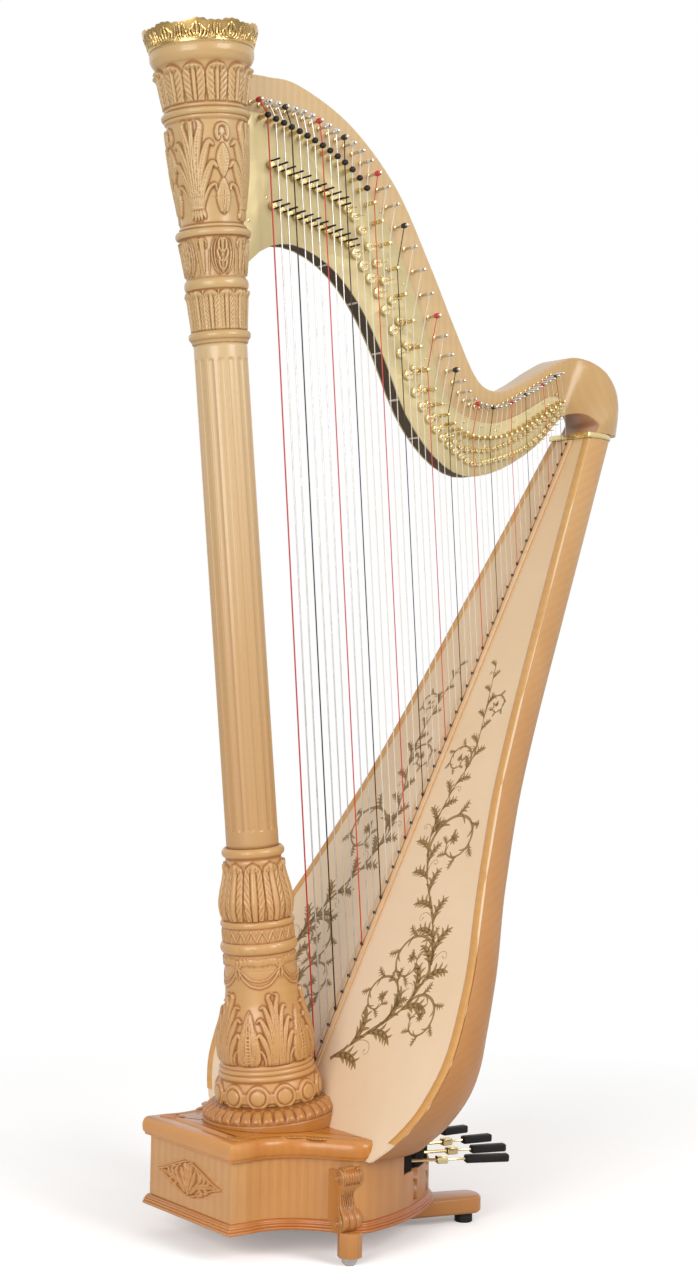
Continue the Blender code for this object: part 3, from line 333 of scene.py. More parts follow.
def tidy_normals(piece: bpy.types.Object, merge: float = 1e-6) -> None:
    """Merge doubled points and turn every face outwards.

    Args:
        piece: The piece.
        merge: Points closer than this become one.
    """
    bm = bmesh.new()
    bm.from_mesh(piece.data)
    bmesh.ops.remove_doubles(bm, verts=bm.verts, dist=merge)
    bmesh.ops.dissolve_degenerate(bm, dist=merge, edges=bm.edges)
    bmesh.ops.recalc_face_normals(bm, faces=bm.faces)
    bm.to_mesh(piece.data)
    bm.free()


def loft(name: str, rings: Sequence[Sequence[Sequence[float]]]) -> bpy.types.Object:
    """Skin rings of equal count into a closed piece.

    Args:
        name: The object's name.
        rings: The rings, first to last.

    Returns:
        The closed piece.
    """
    made = grid_object(name, np.array([[tuple(p) for p in ring] for ring in rings]),
                       capped=True)
    tidy_normals(made)
    return made


def spun(name: str, profile: Row, steps: int = 16) -> bpy.types.Object:
    """Turn a profile of (radius, height) about Z with the spin operator.

    Args:
        name: The object's name.
        profile: From the lower end on the axis to the upper end on the axis.
        steps: Sides of the turned piece.

    Returns:
        The closed piece at the origin.
    """
    edges = [(i, i + 1) for i in range(len(profile) - 1)]
    made = new_object(name, [(r, 0, h) for r, h in profile], [], edges)
    select_only(made)
    bpy.ops.object.mode_set(mode="EDIT")
    bpy.ops.mesh.select_all(action="SELECT")
    bpy.ops.mesh.spin(steps=steps, angle=TAU, center=(0, 0, 0), axis=(0, 0, 1))
    bpy.ops.mesh.select_all(action="SELECT")
    bpy.ops.mesh.remove_doubles(threshold=1e-6)
    bpy.ops.mesh.normals_make_consistent(inside=False)
    bpy.ops.object.mode_set(mode="OBJECT")
    shade(made, 35)
    return made


def primitive(kind: str, **settings: float | Sequence[float]) -> bpy.types.Object:
    """Add a primitive with nothing else selected.

    Args:
        kind: The primitive's name in its operator.
        **settings: The operator's own options.

    Returns:
        The new object.
    """
    bpy.ops.object.select_all(action="DESELECT")
    getattr(bpy.ops.mesh, f"primitive_{kind}_add")(**settings)
    return bpy.context.object


def block(name: str, size: Sequence[float], centre: Sequence[float] = (0, 0, 0),
          bevel: float = 0.0) -> bpy.types.Object:
    """Add a cube at its size and place, and round its edges in edit mode.

    Args:
        name: The object's name.
        size: Its three lengths.
        centre: Its middle.
        bevel: Width of the rounding, if any.

    Returns:
        The block.
    """
    made = primitive("cube", size=1, location=centre)
    made.name = name
    made.scale = size
    bpy.ops.object.transform_apply(location=True, rotation=True, scale=True)
    if bevel:
        bpy.ops.object.mode_set(mode="EDIT")
        bpy.ops.mesh.select_all(action="SELECT")
        bpy.ops.mesh.bevel(offset=bevel, segments=2)
        bpy.ops.object.mode_set(mode="OBJECT")
    shade(made, 40)
    return made


def shade(piece: bpy.types.Object, degrees: float = 35) -> None:
    """Smooth a piece's shading up to an edge angle."""
    select_only(piece)
    bpy.ops.object.shade_smooth_by_angle(angle=math.radians(degrees))


def moved(piece: bpy.types.Object, matrix: Matrix) -> bpy.types.Object:
    """Move a piece's mesh, leaving its object at the origin.

    Args:
        piece: The piece.
        matrix: The move; it may mirror.

    Returns:
        The same piece.
    """
    piece.data.transform(matrix)
    if matrix.determinant() < 0:
        piece.data.flip_normals()
    return piece


def copies(pattern: bpy.types.Object, places: Iterable[Matrix],
           name: str) -> bpy.types.Object:
    """Join a copy of a pattern at each place into one piece.

    Args:
        pattern: The piece that is repeated, removed afterwards.
        places: One matrix for each copy.
        name: The joined piece's name.

    Returns:
        The joined piece.
    """
    base = np.empty(len(pattern.data.vertices) * 3)
    pattern.data.vertices.foreach_get("co", base)
    base = np.c_[base.reshape(-1, 3), np.ones(len(base) // 3)]
    faces = [list(p.vertices) for p in pattern.data.polygons]
    verts: list[Array] = []
    all_faces: list[list[int]] = []
    for matrix in places:
        start = len(verts) * len(base)
        verts.append((base @ np.array(matrix).T)[:, :3])
        all_faces += [[i + start for i in face] for face in faces]
    made = new_object(name, np.concatenate(verts).tolist(), all_faces)
    shade(made, 40)
    bpy.data.objects.remove(pattern)
    return made


def joined(name: str, pieces: Sequence[bpy.types.Object]) -> bpy.types.Object:
    """Join pieces into one, with the first one's materials and the others' own.

    Args:
        name: The joined piece's name.
        pieces: The pieces.

    Returns:
        The joined piece.
    """
    select_only(pieces[0])
    for piece in pieces:
        piece.select_set(True)
    if len(pieces) > 1:
        bpy.ops.object.join()
    pieces[0].name = name
    return pieces[0]


def cut(piece: bpy.types.Object, tool: bpy.types.Object) -> None:
    """Cut a tool's shape out of a piece, and remove the tool.

    Args:
        piece: The piece.
        tool: The closed shape that is cut out.
    """
    change = piece.modifiers.new("cut", "BOOLEAN")
    change.operation, change.object, change.solver = "DIFFERENCE", tool, "EXACT"
    select_only(piece)
    bpy.ops.object.modifier_apply(modifier=change.name)
    bpy.data.objects.remove(tool)


def from_node(node: str, name: str, degrees: float = 35,
              bevel: float = 0.0) -> bpy.types.Object:
    """Copy a CAD node's mesh into a piece of its own, merged and smoothly shaded.

    Args:
        node: The node's name.
        name: The new piece's name.
        degrees: Edges sharper than this stay sharp.
        bevel: Width of the rounding on sharp edges, if any.

    Returns:
        The new piece, which stands for the node.
    """
    made = bpy.data.objects.new(name, frame["nodes"][node].data.copy())
    bpy.context.scene.collection.objects.link(made)
    made.matrix_world = Matrix.Identity(4)
    made.data.materials.clear()
    bm = bmesh.new()
    bm.from_mesh(made.data)
    bmesh.ops.remove_doubles(bm, verts=bm.verts, dist=2e-6)
    bmesh.ops.dissolve_limit(bm, angle_limit=math.radians(0.5), verts=bm.verts,
                             edges=bm.edges)
    bm.to_mesh(made.data)
    bm.free()
    if bevel:
        edge = made.modifiers.new("edge", "BEVEL")
        edge.width, edge.segments, edge.limit_method = bevel, 2, "ANGLE"
        edge.angle_limit = math.radians(40)
        select_only(made)
        bpy.ops.object.modifier_apply(modifier=edge.name)
    shade(made, degrees)
    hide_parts(node)
    return made


def place(piece: bpy.types.Object, finish: "Finish", slot: str,
          body: str = Body.FRAME.value) -> bpy.types.Object:
    """Dress a finished piece, and let it ride on a body.

    Args:
        piece: The piece.
        finish: Its finish.
        slot: The material slot that it stands for; not used.
        body: The name of the body that it rides on.

    Returns:
        The same piece.
    """
    piece.data.materials.clear()
    piece.data.materials.append(finish.material())
    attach(piece, body)
    LOG.info("%s: %d faces on %s", piece.name, len(piece.data.polygons), body)
    return piece


# Finishes

Socket = bpy.types.NodeSocket
Tree = bpy.types.NodeTree


def add(tree: Tree, kind: str, inputs: dict | None = None, **settings) -> bpy.types.Node:
    """Add a node, set its options, and feed its inputs with values or links.

    Args:
        tree: The node tree.
        kind: The node's type, without its ShaderNode prefix.
        inputs: Plain values, sums of nodes or sockets, by input name or index.
        **settings: The node's own options.

    Returns:
        The new node.
    """
    made = tree.nodes.new("ShaderNode" + kind)
    for key, value in settings.items():
        setattr(made, key, value)
    for key, value in (inputs or {}).items():
        value = value.socket if isinstance(value, Value) else value
        if isinstance(value, bpy.types.NodeSocket):
            tree.links.new(value, made.inputs[key])
        else:
            made.inputs[key].default_value = value
    return made


@dataclass(frozen=True)
class Value:
    """A number that nodes work out, so that sums of nodes read as sums."""

    tree: Tree
    socket: Socket

    def maths(self, operation: str, other: "Value | float", first: bool = True,
              clamp: bool = False) -> "Value":
        """Work out one sum with a Math node.

        Args:
            operation: The kind of sum.
            other: The other number.
            first: Whether this value comes before the other.
            clamp: Whether the result is held to 0..1.

        Returns:
            The result.
        """
        pair = [self.socket, other.socket if isinstance(other, Value) else other]
        low, high = pair if first else reversed(pair)
        made = add(self.tree, "Math", {0: low, 1: high}, operation=operation,
                   use_clamp=clamp)
        return Value(self.tree, made.outputs[0])

    def __add__(self, other: "Value | float") -> "Value":
        """Add."""
        return self.maths("ADD", other)

    def __radd__(self, other: float) -> "Value":
        """Add, the number first."""
        return self.maths("ADD", other, first=False)

    def __sub__(self, other: "Value | float") -> "Value":
        """Subtract."""
        return self.maths("SUBTRACT", other)

    def __rsub__(self, other: float) -> "Value":
        """Subtract from a number."""
        return self.maths("SUBTRACT", other, first=False)

    def __mul__(self, other: "Value | float") -> "Value":
        """Multiply."""
        return self.maths("MULTIPLY", other)

    def plus(self, other: "Value | float") -> "Value":
        """Add, and hold the result to 0..1."""
        return self.maths("ADD", other, clamp=True)

    def times(self, other: "Value | float") -> "Value":
        """Multiply, and hold the result to 0..1."""
        return self.maths("MULTIPLY", other, clamp=True)


def blend_colour(tree: Tree, share: Value | float, first: Socket | Sequence[float],
                 second: Socket | Sequence[float], mode: str = "MIX") -> Socket:
    """Blend two colours by a share.

    Args:
        tree: The node tree.
        share: How much of the second, 0 to 1.
        first: The first colour.
        second: The second colour.
        mode: The way that they blend.

    Returns:
        The blended colour.
    """
    made = add(tree, "Mix", {0: share, 6: first, 7: second}, data_type="RGBA",
               blend_type=mode, clamp_factor=True)
    return made.outputs[2]


def rgba(colour: Colour) -> tuple[float, float, float, float]:
    """Return a colour with full alpha."""
    return (*colour, 1.0)


def noise(tree: Tree, vector: Socket, scale: float, stretch: Sequence[float] = (1, 1, 1),
          detail: float = 3.0, rough: float = 0.55) -> Value:
    """Return a noise pattern, stretched by scaling its vector.

    Args:
        tree: The node tree.
        vector: The coordinates.
        scale: How fine the pattern is.
        stretch: How much finer it is along each axis.
        detail: How many finer layers it has.
        rough: How strong the finer layers are.

    Returns:
        The pattern's value, about 0.5.
    """
    mapped = add(tree, "Mapping", {"Vector": vector, "Scale": tuple(stretch)})
    made = add(tree, "TexNoise", {"Vector": mapped.outputs[0], "Scale": scale,
                                  "Detail": detail, "Roughness": rough})
    return Value(tree, made.outputs[0])


def attribute(tree: Tree, name: str) -> Value:
    """Return a value that a piece stores for each of its points."""
    return Value(tree, add(tree, "Attribute", attribute_name=name).outputs["Fac"])


def feed(tree: Tree, node: bpy.types.Node, values: dict[str, Value | Socket]) -> None:
    """Link worked-out values to a node's inputs.

    Args:
        tree: The node tree.
        node: The node.
        values: What each input gets, by the input's name.
    """
    for key, value in values.items():
        tree.links.new(value.socket if isinstance(value, Value) else value,
                       node.inputs[key])


def new_group(name: str, inputs: dict[str, float | Sequence[float]],
              outputs: dict[str, str]) -> tuple[Tree, bpy.types.Node, bpy.types.Node]:
    """Start a shader node group.

    Args:
        name: The group's name.
        inputs: Its inputs' names and default values.
        outputs: Its outputs' names and socket types.

    Returns:
        The tree, its input node and its output node.
    """
    tree = bpy.data.node_groups.new(name, "ShaderNodeTree")
    for key, value in inputs.items():
        kind = ("NodeSocketFloat" if isinstance(value, float)
                else "NodeSocketColor" if len(value) == 4 else "NodeSocketVector")
        tree.interface.new_socket(name=key, in_out="INPUT",
                                  socket_type=kind).default_value = value
    for key, kind in outputs.items():
        tree.interface.new_socket(name=key, in_out="OUTPUT", socket_type=kind)
    return tree, tree.nodes.new("NodeGroupInput"), tree.nodes.new("NodeGroupOutput")


class Effects:
    """The node groups that several finishes share, each built when first wanted."""

    _built: dict[str, Tree] = {}

    @classmethod
    def group(cls, name: str) -> Tree:
        """Return a shared node group by name."""
        if name not in cls._built:
            cls._built[name] = getattr(cls, name)()
        return cls._built[name]

    @staticmethod
    def wood_figure() -> Tree:
        """Build fibres, growth tones and curl for wood whose grain runs along Z.

        Returns:
            A group with Color, Tone and Height.
        """
        tree, given, out = new_group(
            "wood_figure",
            {"Vector": (0.0, 0.0, 0.0), "Light": (1.0, 1.0, 1.0, 1.0),
             "Dark": (0.0, 0.0, 0.0, 1.0), "Figure": 0.3, "Fibre": 0.3},
            {"Color": "NodeSocketColor", "Tone": "NodeSocketFloat",
             "Height": "NodeSocketFloat"})
        vector = given.outputs["Vector"]
        fibre = noise(tree, vector, 1.0, (520, 520, 9), 4.0)
        broad = noise(tree, vector, 1.0, (13, 13, 1.6), 2.0)
        patch = noise(tree, vector, 1.0, (7, 7, 4), 1.0)
        curl, fine = (Value(tree, add(tree, "TexWave", {
            "Vector": vector, "Scale": scale, "Distortion": warp, "Detail": 2.0,
            "Detail Scale": finer}, wave_type="BANDS", bands_direction="Z").outputs["Fac"])
            for scale, warp, finer in ((24.0, 1.3, 1.6), (57.0, 2.0, 2.2)))
        ripple = (curl * 0.7 + fine * 0.3 - 0.5) * (patch * 2.0)
        tone = 0.5 + ripple * Value(tree, given.outputs["Figure"])
        tone += (fibre - 0.5) * Value(tree, given.outputs["Fibre"])
        tone = tone.plus(broad - 0.5)
        colour = blend_colour(tree, tone, given.outputs["Dark"], given.outputs["Light"])
        feed(tree, out, {"Color": colour, "Tone": tone, "Height": fibre + ripple * 0.4})
        return tree

    @staticmethod
    def carved_shade_highlight_wear() -> Tree:
        """Build painted shade in hollows and creases, and a lighter colour on ridges that is
        partly painted highlight and partly rubbed wear.

        Returns:
            A group with Color and Hollow.
        """
        tree, given, out = new_group(
            "carved_shade_highlight_wear",
            {"Color": (1.0, 1.0, 1.0, 1.0), "Shade": (0.0, 0.0, 0.0, 1.0),
             "Edge": (1.0, 1.0, 1.0, 1.0), "Depth": 0.8, "Wear and highlight": 0.4},
            {"Color": "NodeSocketColor", "Hollow": "NodeSocketFloat"})
        point = Value(tree, add(tree, "NewGeometry").outputs["Pointiness"])
        # painted shade: darker where the surface is concave, and where a piece marks a recess
        hollow = ((0.49 - point).times(7.0) * 0.5).plus(attribute(tree, "recess"))
        hollow = hollow.times(Value(tree, given.outputs["Depth"]))
        # lighter on sharp ridges: painted highlight as well as rubbed wear
        ridge = (point - 0.515).times(9.0) * Value(tree, given.outputs["Wear and highlight"])
        colour = blend_colour(tree, hollow, given.outputs["Color"], given.outputs["Shade"])
        colour = blend_colour(tree, ridge, colour, given.outputs["Edge"])
        feed(tree, out, {"Color": colour, "Hollow": hollow})
        return tree

    @staticmethod
    def handled_metal() -> Tree:
        """Build brushing, faint stains and handling marks for metal.

        Returns:
            A group with Color, Rough and Height.
        """
        tree, given, out = new_group(
            "handled_metal",
            {"Vector": (0.0, 0.0, 0.0), "Color": (1.0, 1.0, 1.0, 1.0),
             "Stain": (0.2, 0.1, 0.05, 1.0), "Brush": 0.5, "Roughness": 0.3},
            {"Color": "NodeSocketColor", "Rough": "NodeSocketFloat",
             "Height": "NodeSocketFloat"})
        vector = given.outputs["Vector"]
        brush = noise(tree, vector, 1.0, (900, 900, 26), 3.0)
        cloud = noise(tree, vector, 34.0, detail=4.0)
        mark = noise(tree, vector, 310.0, detail=2.0)
        stain = (cloud - 0.42).times(0.8)
        colour = blend_colour(tree, stain, given.outputs["Color"], given.outputs["Stain"])
        rough = (Value(tree, given.outputs["Roughness"])
                 + (brush - 0.5) * Value(tree, given.outputs["Brush"]))
        rough = rough.plus((cloud - 0.5) * 0.25)
        feed(tree, out, {"Color": colour, "Rough": rough, "Height": brush + mark * 0.3})
        return tree


class Grain(Enum):
    """The way wood grain or brushing runs, as the turn that lays it along Z."""

    UP = (0.0, 0.0, 0.0)
    ALONG_X = (0.0, -math.pi / 2, 0.0)
    LEANING = (0.0, 0.42, 0.0)
    ROUND_CASING = tuple((Matrix.Rotation(-math.pi / 2, 3, "Y")
                          @ Matrix.Rotation(math.pi / 4, 3, "Z")).to_euler())


def start_material(name: str, roughness: float, metallic: float = 0.0,
                   coat: float = 0.0) -> tuple[bpy.types.Material, Tree, bpy.types.Node]:
    """Make a material with a Principled shader and plain values on its own sockets.

    Args:
        name: The material's name.
        roughness: The shader's roughness where nothing feeds it.
        metallic: The shader's metallic value.
        coat: The weight of a clear lacquer over it.

    Returns:
        The material, its tree and its shader.
    """
    made = bpy.data.materials.new(name)
    made.use_nodes = True
    tree = made.node_tree
    shader = tree.nodes["Principled BSDF"]
    shader.inputs["Roughness"].default_value = roughness
    shader.inputs["Metallic"].default_value = metallic
    shader.inputs["Coat Weight"].default_value = coat
    shader.inputs["Coat Roughness"].default_value = 0.12
    return made, tree, shader


def object_vector(tree: Tree, grain: Grain = Grain.UP) -> Socket:
    """Return Object coordinates, turned so that the grain runs along Z.

    Args:
        tree: The node tree.
        grain: The way the grain runs.

    Returns:
        The coordinates.
    """
    coordinates = add(tree, "TexCoord").outputs["Object"]
    if grain is Grain.ROUND_CASING:  # the curl is alike on both sides of the base
        parts = add(tree, "SeparateXYZ", {0: coordinates}).outputs
        near = Value(tree, parts[1]).maths("ABSOLUTE", 0.0) * -1.0
        coordinates = add(tree, "CombineXYZ", {0: parts[0], 1: near, 2: parts[2]}).outputs[0]
    return add(tree, "Mapping", {"Vector": coordinates,
                                 "Rotation": grain.value}).outputs[0]


def add_bump(tree: Tree, shader: bpy.types.Node, height: Value | Socket, strength: float,
             distance: float) -> None:
    """Feed a height to the shader's normal.

    Args:
        tree: The node tree.
        shader: The shader.
        height: The height.
        strength: How strongly it shows.
        distance: How high a height of 1 is.
    """
    bump = add(tree, "Bump", {"Height": height, "Strength": strength,
                              "Distance": distance})
    tree.links.new(bump.outputs[0], shader.inputs["Normal"])


class Finish:
    """A finish whose material is built once, when a piece first needs it."""

    name: str
    _made: dict[str, bpy.types.Material] = {}

    def material(self) -> bpy.types.Material:
        """Return the finish's material."""
        if self.name not in Finish._made:
            Finish._made[self.name] = self.build()
        return Finish._made[self.name]

    def build(self) -> bpy.types.Material:
        """Build the material; each kind of finish has its own way."""
        raise NotImplementedError


def shade_highlight_wear(tree: Tree, colour: Socket, finish: "Wood | Metal") -> bpy.types.Node:
    """Paint shade into a finish's hollows and lighten its edges, partly as painted highlight
    and partly as wear.

    Args:
        tree: The material's node tree.
        colour: The colour of its plain faces.
        finish: The finish, for its own shade colour, edge colour, hollow strength and ridge
            lightening.

    Returns:
        The group's node, with Color and Hollow.
    """
    return add(tree, "Group", {
        "Color": colour, "Shade": rgba(finish.shade), "Edge": rgba(finish.edge),
        "Depth": finish.hollow, "Wear and highlight": finish.wear_and_highlight,
    }, node_tree=Effects.group("carved_shade_highlight_wear"))


@dataclass(frozen=True)
class Wood(Finish):
    """Lacquered wood, plain, curly or carved."""

    name: str
    light: Colour
    dark: Colour
    # shade and hollow set the painted shade in hollows and creases; edge and the ridge weight
    # set a lighter colour on ridges, painted highlight as well as rubbed wear
    shade: Colour = (0.16, 0.055, 0.012)
    edge: Colour = (0.80, 0.62, 0.38)
    figure: float = 0.5
    fibre: float = 0.30
    grain: Grain = Grain.UP
    hollow: float = 0.75
    wear_and_highlight: float = 0.25
    roughness: float = 0.34
    coat: float = 0.35
    relief: float = 0.00012
    shine: float = 0.5
    # painted light and shade: the colour grows lighter or darker with height or along X, to
    # copy how light falls; on the casing partly the wood's own deeper orange too
    low_painted_light: Colour = (1.0, 1.0, 1.0)
    high_painted_light: Colour = (1.0, 1.0, 1.0)
    painted_light_axis: int = 2
    painted_light_from: float = 0.25
    painted_light_over: float = 1.1

    def build(self) -> bpy.types.Material:
        """Build the wood: figure, then painted shade in hollows and lighter edges, and a
        painted light-and-shade gradient, under lacquer.

        Returns:
            The material.
        """
        made, tree, shader = start_material(self.name, self.roughness, coat=self.coat)
        figure = add(tree, "Group", {
            "Vector": object_vector(tree, self.grain), "Light": rgba(self.light),
            "Dark": rgba(self.dark), "Figure": self.figure, "Fibre": self.fibre,
        }, node_tree=Effects.group("wood_figure"))
        carved = shade_highlight_wear(tree, figure.outputs["Color"], self)
        # painted light and shade: a gradient along one axis multiplies the colour
        spot = add(tree, "SeparateXYZ", {0: object_vector(tree)}).outputs[self.painted_light_axis]
        share = (Value(tree, spot) - self.painted_light_from).maths("DIVIDE", self.painted_light_over,
                                                           clamp=True)
        painted_light = blend_colour(tree, share, rgba(self.low_painted_light), rgba(self.high_painted_light))
        colour = blend_colour(tree, 1.0, carved.outputs["Color"], painted_light, "MULTIPLY")
        rough = (Value(tree, carved.outputs["Hollow"]) * 0.3).plus(self.roughness)
        rough = rough.plus((Value(tree, figure.outputs["Tone"]) - 0.5) * -0.12)
        feed(tree, shader, {"Base Color": colour, "Roughness": rough})
        shader.inputs["Specular IOR Level"].default_value = self.shine
        add_bump(tree, shader, figure.outputs["Height"], 0.35, self.relief)
        return made


@dataclass(frozen=True)
class Metal(Finish):
    """Brass, gilding or steel with handling marks."""

    name: str
    colour: Colour
    stain: Colour
    # shade and hollow set the painted shade in hollows; edge and the ridge weight set a
    # lighter colour on ridges, painted highlight as well as rubbed wear
    shade: Colour = (0.10, 0.045, 0.015)
    brush: float = 0.12
    roughness: float = 0.28
    metallic: float = 1.0
    grain: Grain = Grain.UP
    hollow: float = 0.7
    wear_and_highlight: float = 0.3
    edge: Colour = (0.98, 0.90, 0.66)
    relief: float = 0.00002

    def build(self) -> bpy.types.Material:
        """Build the metal: stains and brushing, then painted shade in hollows and lighter
        edges, partly painted highlight and partly wear.

        Returns:
            The material.
        """
        made, tree, shader = start_material(self.name, self.roughness, self.metallic)
        marks = add(tree, "Group", {
            "Vector": object_vector(tree, self.grain), "Color": rgba(self.colour),
            "Stain": rgba(self.stain), "Brush": self.brush, "Roughness": self.roughness,
        }, node_tree=Effects.group("handled_metal"))
        carved = shade_highlight_wear(tree, marks.outputs["Color"], self)
        rough = Value(tree, marks.outputs["Rough"]).plus(
            Value(tree, carved.outputs["Hollow"]) * 0.35)
        feed(tree, shader, {"Base Color": carved.outputs["Color"], "Roughness": rough})
        add_bump(tree, shader, marks.outputs["Height"], 0.3, self.relief)
        return made


@dataclass(frozen=True)
class Coating(Finish):
    """Gut, nylon, rubber, felt or paint: an even colour with fine variation."""

    name: str
    colour: Colour
    other: Colour
    scale: float = 400.0
    roughness: float = 0.5
    relief: float = 0.0001
    stretch: tuple[float, float, float] = (1.0, 1.0, 1.0)
    across: bool = False
    cover: float = 1.0
    shine: float = 0.5

    def build(self) -> bpy.types.Material:
        """Build the coating; across follows a stroke's own edge-to-edge value.

        Returns:
            The material.
        """
        made, tree, shader = start_material(self.name, self.roughness)
        vector = object_vector(tree)
        speck = noise(tree, vector, self.scale, self.stretch, 4.0)
        cloud = noise(tree, vector, self.scale / 14, self.stretch, 2.0)
        tone = (speck * 0.6).plus(cloud * 0.5)
        if self.across:
            tone = (attribute(tree, "across") * 0.95).plus((tone - 0.5) * 0.6)
        colour = blend_colour(tree, tone, rgba(self.colour), rgba(self.other))
        rough = (cloud * 0.2).plus(self.roughness - 0.1)
        feed(tree, shader, {"Base Color": colour, "Roughness": rough})
        shader.inputs["Alpha"].default_value = self.cover
        shader.inputs["Specular IOR Level"].default_value = self.shine
        add_bump(tree, shader, speck, 0.4, self.relief)
        return made


# Shade colours and hollow strengths here are painted shade in carving and creases; the low and
# high tints are painted light and shade.
CARVED = Wood("carved_maple", (.605, .405, .190), (.515, .315, .120), figure=.10, fibre=.22,
              shade=(.34, .140, .036), hollow=1.0, wear_and_highlight=.30, low_painted_light=(.96, .80, .65),
              high_painted_light=(.86, .87, .86), coat=.25)
SHAFT = Wood("shaft_maple", (.600, .415, .215), (.530, .350, .160), figure=.10, fibre=.25,
             shade=(.44, .22, .075), hollow=.8, wear_and_highlight=.15, low_painted_light=(.82, .59, .37),
             high_painted_light=(.94, .98, 1.04), coat=.25)
DISC = Wood("disc_maple", (.48, .205, .040), (.38, .140, .022), figure=.10, fibre=.2,
            shade=(.18, .055, .010), hollow=.9, wear_and_highlight=.35, edge=(.72, .43, .17), coat=.25)
CASING = Wood("casing_maple", (.555, .255, .060), (.450, .182, .034), figure=.55, fibre=.15,
              hollow=.5, wear_and_highlight=.15, grain=Grain.ROUND_CASING, coat=.15,
              high_painted_light=(.66, .42, .22), painted_light_axis=0, painted_light_from=-.30, painted_light_over=.42)
CASING_CARVED = Wood("casing_carving", (.60, .29, .085), (.50, .22, .055), figure=.1,
                     fibre=.15, hollow=.85, wear_and_highlight=.35, shade=(.30, .115, .028), coat=.15)
PLINTH = Wood("plinth_maple", (.50, .175, .034), (.39, .112, .016), figure=.25, fibre=.2,
              grain=Grain.ROUND_CASING, wear_and_highlight=.35, hollow=.8, edge=(.70, .40, .15),
              coat=.15, high_painted_light=(.74, .52, .40), painted_light_axis=0, painted_light_from=-.34,
              painted_light_over=.46)
TOP = Wood("top_maple", (.54, .205, .030), (.44, .150, .015), figure=.30, fibre=.2,
           grain=Grain.ALONG_X, wear_and_highlight=.35, hollow=.9, shade=(.14, .045, .008),
           edge=(.74, .42, .14), coat=.25)
FEET = Wood("feet_maple", (.47, .195, .046), (.365, .125, .021), figure=.12, fibre=.2,
            shade=(.14, .042, .008), hollow=.9, wear_and_highlight=.4, edge=(.72, .44, .17), coat=.2)
NECK = Wood("neck_maple", (.60, .425, .225), (.51, .335, .150), figure=.42, fibre=.2,
            grain=Grain.ALONG_X, hollow=.4, wear_and_highlight=.2, coat=.2, high_painted_light=(.80, .71, .56),
            painted_light_axis=0, painted_light_from=.05, painted_light_over=.36)
# a dark reddish sheet for the underside of the neck's shoulder: painted shade
UNDERSIDE_SHADE = Wood("neck_underside_shade", (.29, .105, .045), (.17, .050, .022), figure=.2, fibre=.5,
              shade=(.05, .018, .008), roughness=.45, coat=.1)
SHELL = Wood("shell_maple", (.57, .345, .145), (.48, .255, .085), figure=.22, fibre=.2,
             grain=Grain.LEANING, hollow=.4, wear_and_highlight=.1, low_painted_light=(.80, .58, .38), coat=.08,
             roughness=.45)
BORDER = Wood("border_maple", (.64, .38, .140), (.54, .285, .080), figure=.24, fibre=.2,
              grain=Grain.LEANING, hollow=.4, wear_and_highlight=.1, low_painted_light=(1.0, .87, .70), coat=.08,
              roughness=.45)
SPRUCE = Wood("board_spruce", (.82, .645, .445), (.76, .565, .365), figure=.05, fibre=.30,
              grain=Grain.LEANING, hollow=.2, wear_and_highlight=.05, roughness=.42, coat=.2,
              low_painted_light=(1.0, 1.0, 1.04), high_painted_light=(.86, .80, .68))
RIB = Wood("rib_maple", (.70, .46, .25), (.61, .36, .17), figure=.2, fibre=.2,
           grain=Grain.LEANING, hollow=.3, wear_and_highlight=.2)
INNER = Wood("inner_maple", (.50, .30, .14), (.38, .22, .09), figure=.3, fibre=.3,
             roughness=.55, coat=0.0)
CHANNEL = Wood("channel_stain", (.040, .024, .014), (.020, .012, .007), figure=.2,
               fibre=.4, shade=(.02, .012, .006), roughness=.55, coat=0.0, wear_and_highlight=.1,
               shine=.12)
GILT = Metal("gilt", (.62, .42, .165), (.38, .22, .065), shade=(.09, .032, .007),
             roughness=.22, brush=.06, hollow=.95, wear_and_highlight=.7, edge=(1.0, .88, .58))
BRASS = Metal("plate_brass", (.55, .455, .245), (.44, .365, .195), roughness=.55, brush=.2,
              grain=Grain.ALONG_X, hollow=.3, wear_and_highlight=.1, metallic=.55)
TRIM = Metal("trim_brass", (.74, .58, .28), (.46, .32, .13), roughness=.24, brush=.15,
             hollow=.6)
DISC_GOLD = Metal("disc_gold", (.86, .74, .46), (.66, .53, .27), roughness=.20, brush=.12,
                  hollow=.9, wear_and_highlight=.4)
STEEL = Metal("bright_steel", (.60, .60, .60), (.40, .39, .37), roughness=.25, brush=.2,
              edge=(.9, .9, .9), hollow=.5)
WOUND = Metal("wound_wire", (.50, .49, .46), (.28, .27, .25), roughness=.34, brush=.5,
              edge=(.85, .85, .85), hollow=.3, relief=.0001)
GUT = Coating("pale_gut", (.66, .61, .52), (.80, .77, .70), roughness=.34, scale=900,
              cover=.62)
RED = Coating("red_gut", (.42, .008, .012), (.58, .030, .026), roughness=.32, scale=900)
BLACK = Coating("black_gut", (.012, .010, .009), (.035, .028, .024), roughness=.35,
                scale=900, shine=.25)
FELT = Coating("black_felt", (.005, .005, .005), (.016, .015, .015), roughness=.97,
               scale=1500, relief=.0006, shine=.1)
RUBBER = Coating("black_rubber", (.007, .006, .006), (.018, .016, .015), scale=700,
                 shine=.22)
EBONY = Coating("ebony_black", (.007, .006, .006), (.022, .018, .016), roughness=.3,
                scale=500, shine=.25)
PAINT = Coating("umber_paint", (.41, .255, .085), (.085, .038, .012), roughness=.5,
                scale=260, relief=.00003, across=True)


# Carved ornament, worked out over a band: u is -0.5..0.5 across a cell, v is 0..1 up it

def step_up(low: float, high: float, x: Array) -> Array:
    """Rise smoothly from 0 to 1 as x goes from low to high."""
    t = np.clip((x - low) / (high - low), 0, 1)
    return t * t * (3 - 2 * t)


